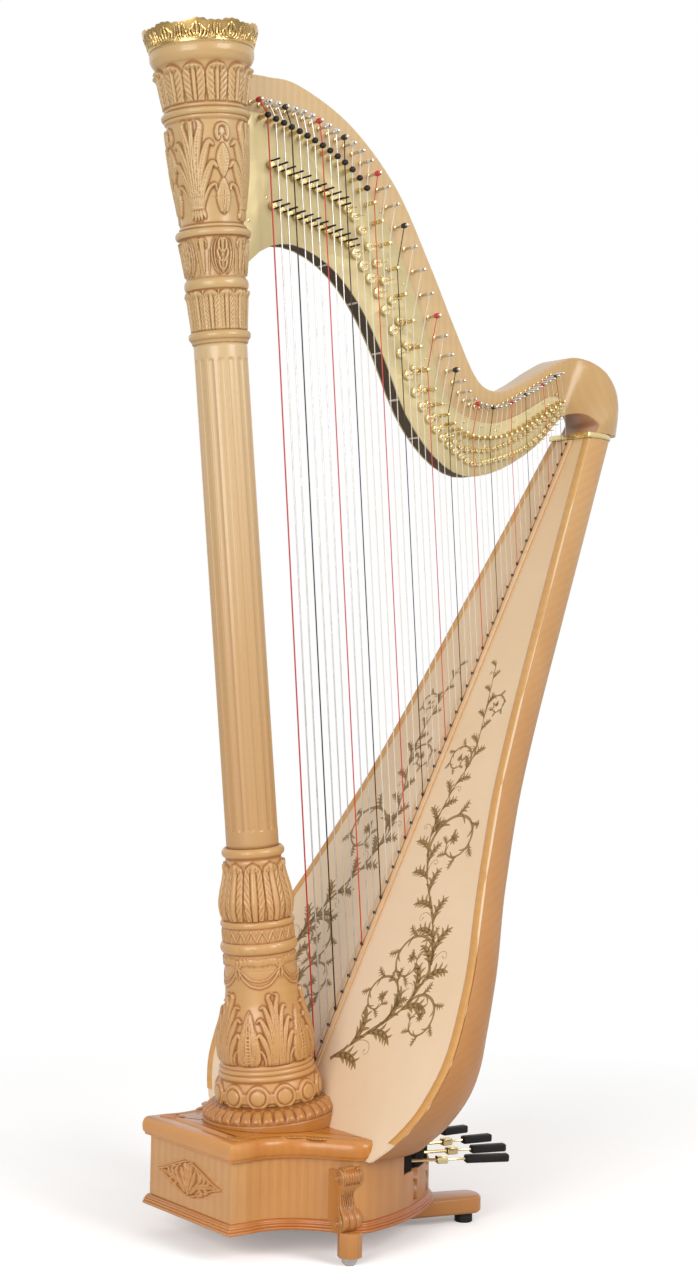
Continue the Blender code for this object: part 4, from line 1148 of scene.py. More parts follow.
@dataclass(frozen=True)
class Stroke:
    """One chisel-shaped blade of ornament.

    Attributes:
        points: Places (u, v) that its middle line runs through.
        widths: Half its width at its root, middle and tip, in band heights.
        height: How far it stands out.
        groove: How deep its middle groove is.
        mirror: Whether it has a mirror image across the cell.
    """

    points: tuple[tuple[float, float], ...]
    widths: tuple[float, float, float] = (0.02, 0.035, 0.012)
    height: float = 1.0
    groove: float = 0.25
    mirror: bool = True

    def raise_on(self, u: Array, v: Array, aspect: float) -> Array:
        """Work out the blade's own height over a band.

        Args:
            u: The place across a cell, -0.5 to 0.5.
            v: The place up the band, 0 to 1.
            aspect: A cell's width over the band's height.

        Returns:
            The relief's height, from 0 to about 1.
        """
        line = [tuple(p) for p in smooth(self.points, 4)]
        spread = np.interp(np.linspace(0, 2, len(line)), (0, 1, 2), self.widths)
        height = np.zeros_like(u)
        for side in ((1, -1) if self.mirror else (1,)):
            for (u0, v0), (u1, v1), w0, w1 in zip(line, line[1:], spread, spread[1:]):
                x, y = (u - side * u0) * aspect, v - v0
                dx, dy = side * (u1 - u0) * aspect, v1 - v0
                t = np.clip((x * dx + y * dy) / max(dx * dx + dy * dy, 1e-9), 0, 1)
                off = np.hypot(x - t * dx, y - t * dy) / (w0 + (w1 - w0) * t)
                blade = np.sqrt(np.clip(1 - off ** 2, 0, 1))
                height = np.maximum(height, blade * (1 - self.groove * np.exp(
                    -(off / 0.25) ** 2)))
        return height * self.height


@dataclass(frozen=True)
class Strokes:
    """Ornament drawn with blades in each cell of a band."""

    blades: tuple[Stroke, ...]

    def __call__(self, u: Array, v: Array, aspect: float) -> Array:
        """Return the relief's height, from 0 to 1."""
        return np.maximum.reduce([blade.raise_on(u, v, aspect) for blade in self.blades])


@dataclass(frozen=True)
class Plume:
    """An arched leaf in each cell: a plain tongue between two feathered sides."""

    lobes: float = 6.0
    width: float = 0.49
    tongue: float = 0.30
    curl: float = 0.45
    arch: float = 0.34
    tips: float = 0.0

    def __call__(self, u: Array, v: Array, aspect: float) -> Array:
        """Return the relief's height, from 0 to about 1.4.

        Args:
            u: The place across a cell, -0.5 to 0.5.
            v: The place up the band, 0 to 1.
            aspect: A cell's width over the band's height; not used.

        Returns:
            The relief's height, from 0 to about 1.4.
        """
        t = np.abs(u)
        top = np.clip((v - (1 - self.arch)) / self.arch, 0, 1)
        edge = self.width * np.sqrt(1 - top ** 2.2) * (0.86 + 0.14 * step_up(0, 0.4, v))
        across = t / np.maximum(edge, 1e-3)
        mask = step_up(0.0, 0.035, edge - t)
        phase = self.lobes * (v - 0.30 * across)
        feather = np.abs(np.sin(np.pi * phase)) ** 0.5
        sides = 0.50 + 0.42 * feather * np.sqrt(np.clip(1.15 - across ** 2, 0, 1))
        sides -= 0.16 * np.abs(np.sin(2 * np.pi * phase)) * across
        middle = 0.55 + 0.55 * np.sqrt(np.clip(1 - (across / self.tongue) ** 2, 0, 1))
        crease = 0.45 * np.exp(-((across - self.tongue * 1.12) / 0.07) ** 2) * (v < 0.85)
        height = np.where(across < self.tongue, middle, sides) - crease
        height += self.curl * np.exp(-((v - 0.93) / 0.07) ** 2)
        height *= mask
        if self.tips:
            other = np.abs(shifted(u))
            point = np.sqrt(np.clip(1 - (other / (0.16 * (1.1 - v) + 0.02)) ** 2, 0, 1))
            height = np.maximum(height, self.tips * point * (v < 1.0))
        return height


def shifted(u: Array) -> Array:
    """Return the place across the cells half a cell further on."""
    return (u + 1.0) % 1.0 - 0.5


def gadroon(u: Array, v: Array, aspect: float) -> Array:
    """Carve plump lobes, rounded at their lower ends and narrowing upwards.

    Args:
        u: The place across a cell, -0.5 to 0.5.
        v: The place up the band, 0 to 1.
        aspect: A cell's width over the band's height; not used.

    Returns:
        The relief's height, from 0 to about 1.
    """
    wide = 0.49 - 0.10 * v
    lobe = np.sqrt(np.clip(1 - (u / wide) ** 2, 0, 1))
    ends = np.sqrt(np.clip(1 - np.abs(2 * np.clip(v, 0, 1) - 1) ** 3, 0, 1))
    return lobe * ends


def coins(u: Array, v: Array, aspect: float) -> Array:
    """Carve roundels in a ribbon that arches over and under each of them.

    Args:
        u: The place across a cell, -0.5 to 0.5.
        v: The place up the band, 0 to 1.
        aspect: A cell's width over the band's height.

    Returns:
        The relief's height, from 0 to about 1.
    """
    x, y = u * aspect, v - 0.42
    ring = np.hypot(x, y)
    ribbon = 0.55 * step_up(0.53, 0.49, ring)
    frame_line = 0.40 * np.exp(-((ring - 0.43) / 0.05) ** 2)
    coin = 0.45 * step_up(0.32, 0.29, ring) + 0.15 * np.clip(1 - (ring / 0.3) ** 2, 0, 1)
    web = 0.55 * step_up(0.24, 0.18, np.abs(y + 0.05))
    return np.maximum(np.maximum(ribbon, web), 0) + frame_line + coin


def ribbon_wave(u: Array, v: Array, aspect: float) -> Array:
    """Carve a slack ribbon wound round a torus.

    Args:
        u: The place across a cell, -0.5 to 0.5.
        v: The place up the band, 0 to 1.
        aspect: A cell's width over the band's height; not used.

    Returns:
        The relief's height, from 0 to about 1.
    """
    bulge = np.sqrt(np.clip(np.sin(np.pi * v), 0, 1))
    fold = np.abs(np.cos(np.pi * (u + 0.55 * v + 0.08 * np.sin(5 * v))))
    return bulge * (0.72 + 0.28 * fold ** 0.5)


def torus(u: Array, v: Array, aspect: float) -> Array:
    """Round a plain band out."""
    return np.sqrt(np.clip(np.sin(np.pi * v), 0, 1)) + 0 * u


def flutes(u: Array, v: Array, aspect: float) -> Array:
    """Hollow out round-ended flutes; aspect is the cell's width over its height.

    Args:
        u: The place across a cell, -0.5 to 0.5.
        v: The place up the band, 0 to 1.
        aspect: A cell's width over the band's height.

    Returns:
        The relief's height, from -1 to 0.
    """
    half = 0.30 * aspect
    past = np.maximum(0, np.abs(v - 0.5) - (0.5 - half))
    off = np.hypot(u * aspect, past) / half
    return -np.sqrt(np.clip(1 - off ** 2, 0, 1))


BLADE = (0.025, 0.042, 0.014)
THIN = (0.014, 0.020, 0.009)
BIG_ACANTHUS = Strokes((
    Stroke(((.02, .0), (.022, .5), (.045, .80), (.10, .95), (.045, 1.0)), (.02, .045, .02)),
    Stroke(((.055, .0), (.06, .35), (.11, .62), (.19, .80), (.27, .80)), BLADE),
    Stroke(((.10, .0), (.11, .28), (.18, .50), (.27, .64), (.335, .61)), BLADE),
    Stroke(((.155, .0), (.165, .18), (.225, .34), (.30, .44), (.35, .38)), BLADE, .9),
    Stroke(((.21, .0), (.22, .10), (.27, .20), (.32, .21)), THIN, .8),
    Stroke(((.49, .02), (.495, .35), (.5, .76)), (.05, .06, .015), .95, .5),
    Stroke(((.44, .0), (.405, .25), (.42, .5), (.47, .72)), BLADE, .85),
    Stroke(((.39, .0), (.35, .16), (.355, .36), (.405, .52)), BLADE, .8),
    Stroke(((.36, .03), (.315, .10), (.325, .24), (.375, .25), (.37, .15)), THIN, .75),
))
TALL_SPRAY = Strokes((
    Stroke(((.0, .15), (.0, .5), (.012, .98)), (.02, .034, .012)),
    Stroke(((.03, .15), (.045, .45), (.085, .75), (.15, .93), (.11, .985)), BLADE),
    Stroke(((.06, .15), (.085, .38), (.16, .60), (.26, .77), (.335, .75)), BLADE),
    Stroke(((.09, .15), (.125, .30), (.21, .46), (.31, .57), (.385, .53)), BLADE),
    Stroke(((.11, .15), (.165, .24), (.255, .335), (.35, .36), (.37, .31)), THIN, .9),
    Stroke(((.0, .12), (.0, .02)), (.012, .022, .008), .8),
    Stroke(((.05, .12), (.065, .02)), (.012, .022, .008), .8),
    Stroke(((.095, .12), (.135, .035)), (.012, .020, .008), .8),
    Stroke(((.0, .132), (.11, .136)), (.014, .016, .014), .9, .0),
    Stroke(((.50, .95), (.43, .93), (.405, .86), (.43, .80), (.46, .84)), THIN, .8),
    Stroke(((.50, .74), (.455, .66), (.45, .54), (.50, .44)), BLADE, .8),
    Stroke(((.50, .72), (.50, .48)), (.010, .022, .010), .8, .0),
    Stroke(((.50, .40), (.46, .33), (.42, .22), (.45, .10)), BLADE, .75),
    Stroke(((.50, .38), (.50, .08)), (.010, .030, .010), .8, .4),
))
FRAMED_LEAF = Strokes((
    Stroke(((.0, .06), (.0, .5), (.0, .93)), (.03, .035, .05), .95, .5),
    Stroke(((.02, .10), (.075, .20), (.095, .36), (.05, .45)), (.02, .035, .012), .85),
    Stroke(((.03, .33), (.10, .44), (.13, .62), (.075, .71)), (.02, .038, .012), .85),
    Stroke(((.03, .58), (.09, .70), (.085, .88), (.04, .96)), (.02, .035, .015), .9),
    Stroke(((.055, .0), (.155, .14), (.205, .42), (.19, .74), (.10, .97)), THIN, .8, .0),
    Stroke(((.115, .0), (.215, .18), (.27, .46), (.25, .78), (.165, 1.0)), THIN, .8, .0),
    Stroke(((.50, .04), (.50, .50), (.50, .90)), (.02, .05, .085), .8, .3),
    Stroke(((.50, .97), (.43, .95), (.385, .84), (.40, .70)), THIN, .9, .0),
    Stroke(((.36, .0), (.345, .30), (.325, .66)), THIN, .6, .0),
))
RIBBON_SWAGS = Strokes((
    Stroke(((.0, .80), (.25, .83), (.5, .78)), (.085, .085, .085), .45, .0),
    Stroke(((.10, .70), (.10, .92)), (.012, .02, .012), .7, .0),
    Stroke(((.20, .72), (.23, .93)), (.012, .02, .012), .7, .0),
    Stroke(((.31, .74), (.31, .93)), (.012, .02, .012), .7, .0),
    Stroke(((.42, .90), (.40, .80), (.44, .70), (.50, .70)), (.02, .035, .02), .8),
    Stroke(((.50, .84), (.50, .70)), (.045, .05, .03), .9, .2),
    Stroke(((.5, .68), (.38, .40), (.2, .20), (.0, .13)), (.02, .03, .034), .8, .0),
    Stroke(((.5, .68), (.36, .52), (.2, .36), (.0, .30)), (.014, .02, .022), .7, .0),
    Stroke(((.47, .66), (.455, .48), (.48, .36)), (.02, .03, .01), .7),
))
TONGUES = Strokes((
    Stroke(((.5, .12), (.25, .50), (.0, .88)), (.05, .06, .05), .8, .0),
    Stroke(((.0, .10), (.0, .50)), (.07, .09, .03), .6, .3),
    Stroke(((.5, .90), (.5, .62)), (.05, .06, .02), .5, .0),
))


@dataclass(frozen=True)
class Band:
    """A stretch of a turned piece with one ornament, repeated round it."""

    low: float
    high: float
    count: int
    relief: Relief
    depth: float
    shift: float = 0.0

    def carve(self, heights: Array, turns: Array, radii: Array) -> Array:
        """Work out how far each point of a turned surface stands out.

        Args:
            heights: Rows by columns of height along the axis.
            turns: The same for the angle.
            radii: The same for the radius.

        Returns:
            The relief in metres.
        """
        v = (heights - self.low) / (self.high - self.low)
        rows = np.flatnonzero((v[:, 0] >= 0) & (v[:, 0] <= 1))
        out = np.zeros_like(heights)
        if not len(rows):
            return out
        u = (turns[rows] * self.count / TAU + self.shift) % 1.0 - 0.5
        cell = TAU * float(radii[rows].mean()) / self.count
        out[rows] = self.relief(u, v[rows], cell / (self.high - self.low)) * self.depth
        return out


def softened(surface: Array, passes: int = 2) -> Array:
    """Blur a grid that closes on itself across its columns.

    Args:
        surface: Rows by columns.
        passes: How often it is blurred.

    Returns:
        The blurred grid.
    """
    for _ in range(passes):
        surface = sum(weight * np.roll(surface, shift, 1) for shift, weight in (
            (-2, .11), (-1, .22), (0, .34), (1, .22), (2, .11)))
        padded = np.vstack([surface[:1]] * 2 + [surface] + [surface[-1:]] * 2)
        surface = sum(weight * padded[i:len(padded) - 4 + i] for i, weight in enumerate(
            (.11, .22, .34, .22, .11)))
    return surface


def hollows(surface: Array, depth: float = 0.0007) -> Array:
    """Find the creases of a carved surface, where it lies below what is round it; the finishes
    paint shade there.
    """
    return np.clip((softened(surface) - surface) / depth, 0, 1)


def round_column(radii: Array, heights: Array) -> Array:
    """Turn rings of radii and heights about the column's leaning axis into points.

    Args:
        radii: Rings by columns.
        heights: The same, along the axis.

    Returns:
        Rings by columns by three, in the frame's axes.
    """
    turns = np.linspace(0, TAU, radii.shape[1], endpoint=False)
    flat = np.stack([radii * np.cos(turns), radii * np.sin(turns), heights,
                     np.ones_like(radii)], -1)
    return (flat @ np.array(COLUMN).T)[..., :3]


@dataclass
class Turning:
    """A carved piece of the column: a turned outside with a bore, and its ornament."""

    name: str
    profile: Row
    bands: Sequence[Band]
    finish: Finish
    slot: str
    node: str
    step: float = 0.0012
    columns: int = 400
    clamp: bool = False
    rows: Sequence[float] = field(default_factory=tuple)

    def build(self) -> None:
        """Build the piece, dress it and let it ride on the frame."""
        low, high = self.profile[0][0], self.profile[-1][0]
        rows = np.array(self.rows if len(self.rows) else np.linspace(
            low, high, max(2, round((high - low) / self.step)) + 1))
        radii = np.array([value_at(self.profile, h) for h in rows])
        turns = np.linspace(0, TAU, self.columns, endpoint=False)
        grid_h, grid_t = np.meshgrid(rows, turns, indexing="ij")
        grid_r = np.repeat(radii[:, None], self.columns, axis=1)
        out = sum(band.carve(grid_h, grid_t, grid_r) for band in self.bands)
        hollow = hollows(grid_r + out)
        slope = np.gradient(radii, rows)[:, None]
        lean = np.sqrt(1 + slope ** 2)
        outer_r, outer_h = grid_r + out / lean, grid_h - out * slope / lean
        # the ends and the bore get a half recess value: painted shade
        for height in (outer_h[-1].mean(), outer_h[0].mean()):
            outer_r = np.vstack([outer_r, np.full((1, self.columns), BORE)])
            outer_h = np.vstack([outer_h, np.full((1, self.columns), height)])
            hollow = np.vstack([hollow, np.full((1, self.columns), 0.5)])
        points = round_column(outer_r, outer_h)
        if self.clamp:
            points[..., 2] = np.maximum(points[..., 2], TOP_Z)
            limit = BOARD_FOOT_X + HARP_X - 2 * FIT + BOARD_SLOPE * (points[..., 2] - TOP_Z)
            points[..., 0] = np.minimum(points[..., 0], limit)
        piece = grid_object(self.name, points, hollow, closed=True)
        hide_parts(self.node)
        place(piece, self.finish, self.slot)


DISC_TURNING = ((-.0160, .1036), (.0140, .1036), (.0152, .1030), (.0158, .1016),
                (.0170, .1005), (.0230, .0975), (.0290, .0915), (.0335, .0850),
                (.0345, .0838), (.0352, .0820), (.0368, .0800))
DISC_BANDS = (Band(.0160, .0338, 36, gadroon, .0042),)
BASE_TURNING = ((.0372, .0755), (.0390, .0775), (.0480, .0785), (.0620, .0772),
                (.0680, .0750), (.0722, .0725), (.0733, .0718), (.0826, .0712),
                (.0904, .0702), (.0966, .0696), (.0985, .0680), (.1060, .0700),
                (.1240, .0708), (.1400, .0690), (.1600, .0645), (.1870, .0578),
                (.2030, .0560), (.2200, .0548), (.2390, .0545), (.2620, .0545),
                (.2640, .0555), (.2785, .0555), (.2800, .0545), (.3018, .0545),
                (.3030, .0548), (.3115, .0548), (.3135, .0495), (.3250, .0528),
                (.3370, .0540), (.3550, .0512), (.3750, .0462), (.3950, .0428),
                (.4000, .0438), (.4050, .0425), (.4080, .0440), (.4210, .0440),
                (.4222, .0425))
BASE_BANDS = (
    Band(.0375, .0720, 12, coins, .0042),
    Band(.0733, .0826, 1, torus, .0036),
    Band(.0828, .0904, 1, torus, .0026),
    Band(.0906, .0966, 1, torus, .0012),
    Band(.0985, .2040, 5, BIG_ACANTHUS, .0058),
    Band(.2060, .2620, 5, RIBBON_SWAGS, .0028, .25),
    Band(.2636, .2790, 17, ribbon_wave, .0038),
    Band(.2800, .3015, 20, TONGUES, .0018),
    Band(.3028, .3118, 1, torus, .0022),
    Band(.3140, .4000, 10, Plume(7.5, .485, .30, .35, .22), .0052),
    Band(.4080, .4212, 1, torus, .0042),
)
CAPITAL_TURNING = ((1.1853, .0422), (1.1910, .0438), (1.2032, .0438), (1.2046, .0398),
                   (1.2400, .0425), (1.2630, .0446), (1.2655, .0452), (1.2665, .0462),
                   (1.2808, .0462), (1.2840, .0448), (1.3150, .0482), (1.3400, .0512),
                   (1.3432, .0518), (1.3440, .0545), (1.3540, .0545), (1.3556, .0500),
                   (1.3606, .0500), (1.3622, .0474), (1.3900, .0496), (1.4440, .0556),
                   (1.4900, .0592), (1.5135, .0606), (1.5158, .0618), (1.5216, .0622),
                   (1.5222, .0640), (1.5300, .0640), (1.5322, .0612), (1.5376, .0612),
                   (1.5400, .0600), (1.5600, .0630), (1.5850, .0672), (1.5940, .0690),
                   (1.5985, .0708), (1.6030, .0745), (1.6070, .0770), (1.6120, .0784),
                   (1.6190, .0786), (1.6225, .0782))
CAPITAL_BANDS = (
    Band(1.1912, 1.2032, 1, torus, .0036),
    Band(1.2048, 1.2640, 12, Plume(9, .49, .28, .5, .20, .8), .0042),
    Band(1.2663, 1.2810, 1, torus, .0028),
    Band(1.2866, 1.3410, 5, FRAMED_LEAF, .0042),
    Band(1.3440, 1.3540, 1, torus, .0032),
    Band(1.3558, 1.3606, 1, torus, .0014),
    Band(1.3640, 1.5130, 4, TALL_SPRAY, .0062, .12),
    Band(1.5160, 1.5216, 1, torus, .0016),
    Band(1.5220, 1.5302, 1, torus, .0036),
    Band(1.5330, 1.5374, 1, torus, .0014),
    Band(1.5400, 1.5950, 12, Plume(6, .49, .20, .75, .32), .0056),
    Band(1.6085, 1.6225, 1, torus, .0006),
)
CROWN_LEAVES = Strokes((
    Stroke(((.0, .10), (.0, .45), (.0, .93)), (.05, .10, .05), 1.0, .5),
    Stroke(((.03, .12), (.10, .35), (.13, .66), (.08, .84)), (.04, .09, .04), .85),
    Stroke(((.06, .12), (.18, .26), (.23, .50), (.17, .66)), (.04, .07, .03), .8),
    Stroke(((.12, .10), (.26, .20), (.31, .40), (.36, .80)), (.02, .045, .03), .8, .1),
    Stroke(((.50, .10), (.50, .50), (.50, .92)), (.03, .07, .03), .9, .3),
    Stroke(((.46, .10), (.42, .45), (.42, .88)), (.02, .05, .02), .8, .1),
    Stroke(((.0, .04), (.25, .04), (.5, .04)), (.055, .055, .055), .7, .0),
))


@dataclass
class Column:
    """The carved column: gadrooned disc, base, fluted shaft, capital and gilt crown."""

    flute_low: float = 0.4475
    flute_high: float = 1.163
    flute_count: int = 16
    crown_low: float = 1.6226
    crown_high: float = 1.6505
    crown_leaves: int = 10

    def build(self) -> None:
        """Build every piece of the column."""
        Turning("column_disc_gadroons", DISC_TURNING, DISC_BANDS, DISC,
                "column_disc_maple", "column_disc", .0010, 720, clamp=True).build()
        split = .238
        self.halves("column_base", BASE_TURNING, BASE_BANDS, split, True)
        self.build_shaft()
        self.halves("column_capital", CAPITAL_TURNING, CAPITAL_BANDS, 1.4000, False)
        self.build_crown()

    @staticmethod
    def halves(node: str, profile: Row, bands: Sequence[Band], split: float,
               clamp: bool) -> None:
        """Build one carved length of the column as two pieces that meet at a height.

        Args:
            node: The CAD node that both stand for.
            profile: Its outline.
            bands: Its ornament.
            split: The height where they meet.
            clamp: Whether the top plate and the board limit them.
        """
        middle = (split, value_at(profile, split))
        low = [row for row in profile if row[0] < split]
        high = [row for row in profile if row[0] > split]
        for name, part in ((f"{node}_lower", (*low, middle)),
                           (f"{node}_upper", (middle, *high))):
            Turning(name, part, bands, CARVED, f"{node}_maple", node, clamp=clamp).build()

    def build_shaft(self) -> None:
        """Build the fluted shaft with its round-ended flutes."""
        low, high = .4225, 1.185
        ends = [self.flute_low + k * .0012 for k in range(-2, 12)]
        tops = [self.flute_high - k * .0012 for k in range(11, -3, -1)]
        rows = [low, low + .006, low + .014, *ends,
                *np.linspace(ends[-1] + .004, tops[0] - .004, 60), *tops,
                high - .014, high - .006, high]
        band = Band(self.flute_low, self.flute_high, self.flute_count, flutes, .0016)
        Turning("column_shaft_fluted", ((low, .0402), (high, .0408)), (band,), SHAFT,
                "column_shaft_maple", "column_shaft", columns=384,
                rows=tuple(float(h) for h in rows)).build()

    def build_crown(self) -> None:
        """Build the gilt crown: leaves and spiky blades that end in a wavy edge."""
        columns, rows = 480, 30
        turns = np.linspace(0, TAU, columns, endpoint=False)
        u = (turns * self.crown_leaves / TAU) % 1.0 - 0.5
        wave = .0032 * np.sqrt(np.clip(1 - (u / .27) ** 2, 0, 1))
        wave += .0013 * np.abs(np.cos(5 * np.pi * u))
        top = self.crown_high + .0008 + wave
        v = np.linspace(0, 1, rows)[:, None]
        heights = self.crown_low + (top[None, :] - self.crown_low) * v
        rim = ((1.6226, .0784), (1.6250, .0800), (1.6290, .0800), (1.6330, .0802),
               (1.6420, .0838), (1.6510, .0874), (1.6560, .0888))
        radii = np.vectorize(lambda h: value_at(rim, h))(heights)
        grid_u = np.repeat(u[None, :], rows, axis=0)
        grid_v = (heights - self.crown_low) / (self.crown_high - self.crown_low)
        carve = CROWN_LEAVES(grid_u, grid_v, TAU * .082 / self.crown_leaves / .028) * .0034
        carve *= np.clip((grid_v - .12) / .25, 0, 1)
        hollow = hollows(radii + carve, .0016)
        outer = radii + carve * np.clip(1.25 - grid_v, .3, 1)
        inner = radii[::-1] - .0042
        # the crown's inside gets a recess value of 0.4: painted shade
        self.hang("column_crown_leaves", np.vstack([outer, inner]),
                  np.vstack([heights, heights[::-1]]),
                  np.vstack([hollow, 0.4 + 0 * inner]), GILT)
        floor_r = np.outer((.0786, .0784, .0300, .0004), np.ones(96))
        floor_h = np.outer((1.6222, 1.6262, 1.6272, 1.6272), np.ones(96))
        self.hang("column_crown_floor", floor_r, floor_h, 0 * floor_r, CARVED)

    @staticmethod
    def hang(name: str, radii: Array, heights: Array, hollow: Array,
             finish: Finish) -> None:
        """Turn radii and heights about the column's axis into one of the crown's pieces.

        Args:
            name: The piece's name.
            radii: Rings by columns.
            heights: The same, along the axis.
            hollow: How deep in the carving each point lies; the finish paints shade there.
            finish: Its finish.
        """
        leaves = finish is GILT
        piece = grid_object(name, round_column(radii, heights), hollow, closed=leaves,
                            capped=not leaves)
        if not leaves:
            tidy_normals(piece)
        shade(piece, 60)
        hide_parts("column_crown")
        place(piece, finish, "crown_gilt")


def leaf_sheet(name: str, path: Sequence[Vector], half_width: float,
               depth: float = .0016) -> bpy.types.Object:
    """Lay one closed carved leaf, with five lobes on each side, along a level path.

    Args:
        name: The object's name.
        path: Points from the leaf's root to its tip.
        half_width: Half the leaf's greatest width.
        depth: How far its middle stands up.

    Returns:
        The leaf.
    """
    lobes, notch, up = 5, 0.35, Vector((0, 0, 1))
    rows, hollow = [], []
    count = len(path) - 1
    columns = np.linspace(-1, 1, 15)
    for i, point in enumerate(path):
        v = i / count
        along = (path[min(i + 1, count)] - path[max(i - 1, 0)]).normalized()
        side = along.cross(up).normalized()
        body = math.sqrt(max(0.0, 1 - ((v - 0.4) / 0.6) ** 2)) if v > 0.4 else (
            0.35 + 0.65 * math.sin(math.pi * v / 0.8))
        row, deep = [], []
        for t in columns:
            phase = lobes * (v - 0.25 * abs(t))
            lobe = abs(math.sin(math.pi * phase))
            edge = half_width * body * (1 - notch * (1 - lobe) ** 1.3 * abs(t)) + 1e-4
            high = depth * (0.3 + 0.7 * math.sqrt(max(0.0, 1 - t * t)) + 0.25 * math.exp(
                -(t / 0.12) ** 2) - 0.30 * (1 - lobe) * abs(t)) * min(1.0, 6 * (1 - v) + 0.2)
            high = -0.0004 if abs(t) == 1 else high
            row.append(point + side * (t * edge) + up * high)
            # painted shade in the lobes' notches, at the edges and on the underside
            deep.append(min(1.0, 0.55 * (1 - lobe) * abs(t) + 0.5 * abs(t) ** 6))
        row += [point + side * (t * half_width * body * 0.8) - up * 0.0008
                for t in (0.9, -0.9)]
        rows.append([tuple(p) for p in row])
        hollow.append([*deep, 1.0, 1.0])
    made = grid_object(name, np.array(rows), np.array(hollow), capped=True)
    tidy_normals(made)
    return made


def base_plan(overhang: float = 0.0, per_span: int = 6) -> list[Vector]:
    """Return the base's plan in the frame's axes, grown by an overhang.

    Args:
        overhang: How far it grows.
        per_span: Steps between two points of the side.

    Returns:
        The plan's corners in order.
    """
    side = [Vector(BASE_SIDE[0]), *smooth(BASE_SIDE[1:], per_span)]
    mirrored = [Vector((p.x, -p.y)) for p in reversed(side[:-1])]
    return [p + Vector((HARP_X, 0)) for p in grown([*side, *mirrored], overhang)]


FOOT_LEAF = Strokes((
    Stroke(((.0, .97), (.0, .60), (.0, .30)), (.05, .08, .05), 1.0, .5),
    Stroke(((.05, .72), (.13, .50), (.16, .32)), (.03, .06, .04), .9, .3),
    Stroke(((.10, .72), (.25, .52), (.30, .32)), (.03, .06, .04), .85, .3),
    Stroke(((.18, .72), (.36, .52), (.43, .30)), (.03, .05, .03), .8, .3),
    Stroke(((.30, .10), (.40, .05), (.47, .01)), (.05, .05, .02), 1.2),
))
CARTOUCHE = Strokes((
    Stroke(((.0, .12), (.0, .50), (.0, .90)), (.06, .12, .05), 1.0, .4),
    Stroke(((.01, .30), (.035, .62), (.05, .88)), (.05, .09, .04), .9),
    Stroke(((.03, .22), (.075, .50), (.11, .74)), (.05, .09, .04), .85),
    Stroke(((.05, .16), (.12, .34), (.17, .52)), (.05, .08, .03), .8),
    Stroke(((.08, .30), (.18, .40), (.29, .47), (.42, .50)), (.04, .09, .04), .9, .5),
    Stroke(((.14, .38), (.19, .58), (.17, .72), (.12, .84)), (.03, .07, .03), .8),
    Stroke(((.20, .42), (.25, .58), (.24, .70), (.20, .74)), (.03, .06, .03), .8),
    Stroke(((.26, .45), (.31, .56), (.31, .65)), (.03, .05, .02), .8),
    Stroke(((.16, .36), (.21, .22), (.16, .14)), (.03, .07, .03), .8),
    Stroke(((.23, .42), (.29, .32), (.26, .24)), (.03, .06, .02), .8),
    Stroke(((.0, .99), (.12, .88), (.24, .74), (.36, .60), (.48, .50)), (.03, .03, .03),
           .7, .0),
    Stroke(((.0, .01), (.12, .12), (.24, .26), (.36, .40), (.48, .50)), (.03, .03, .03),
           .7, .0),
))


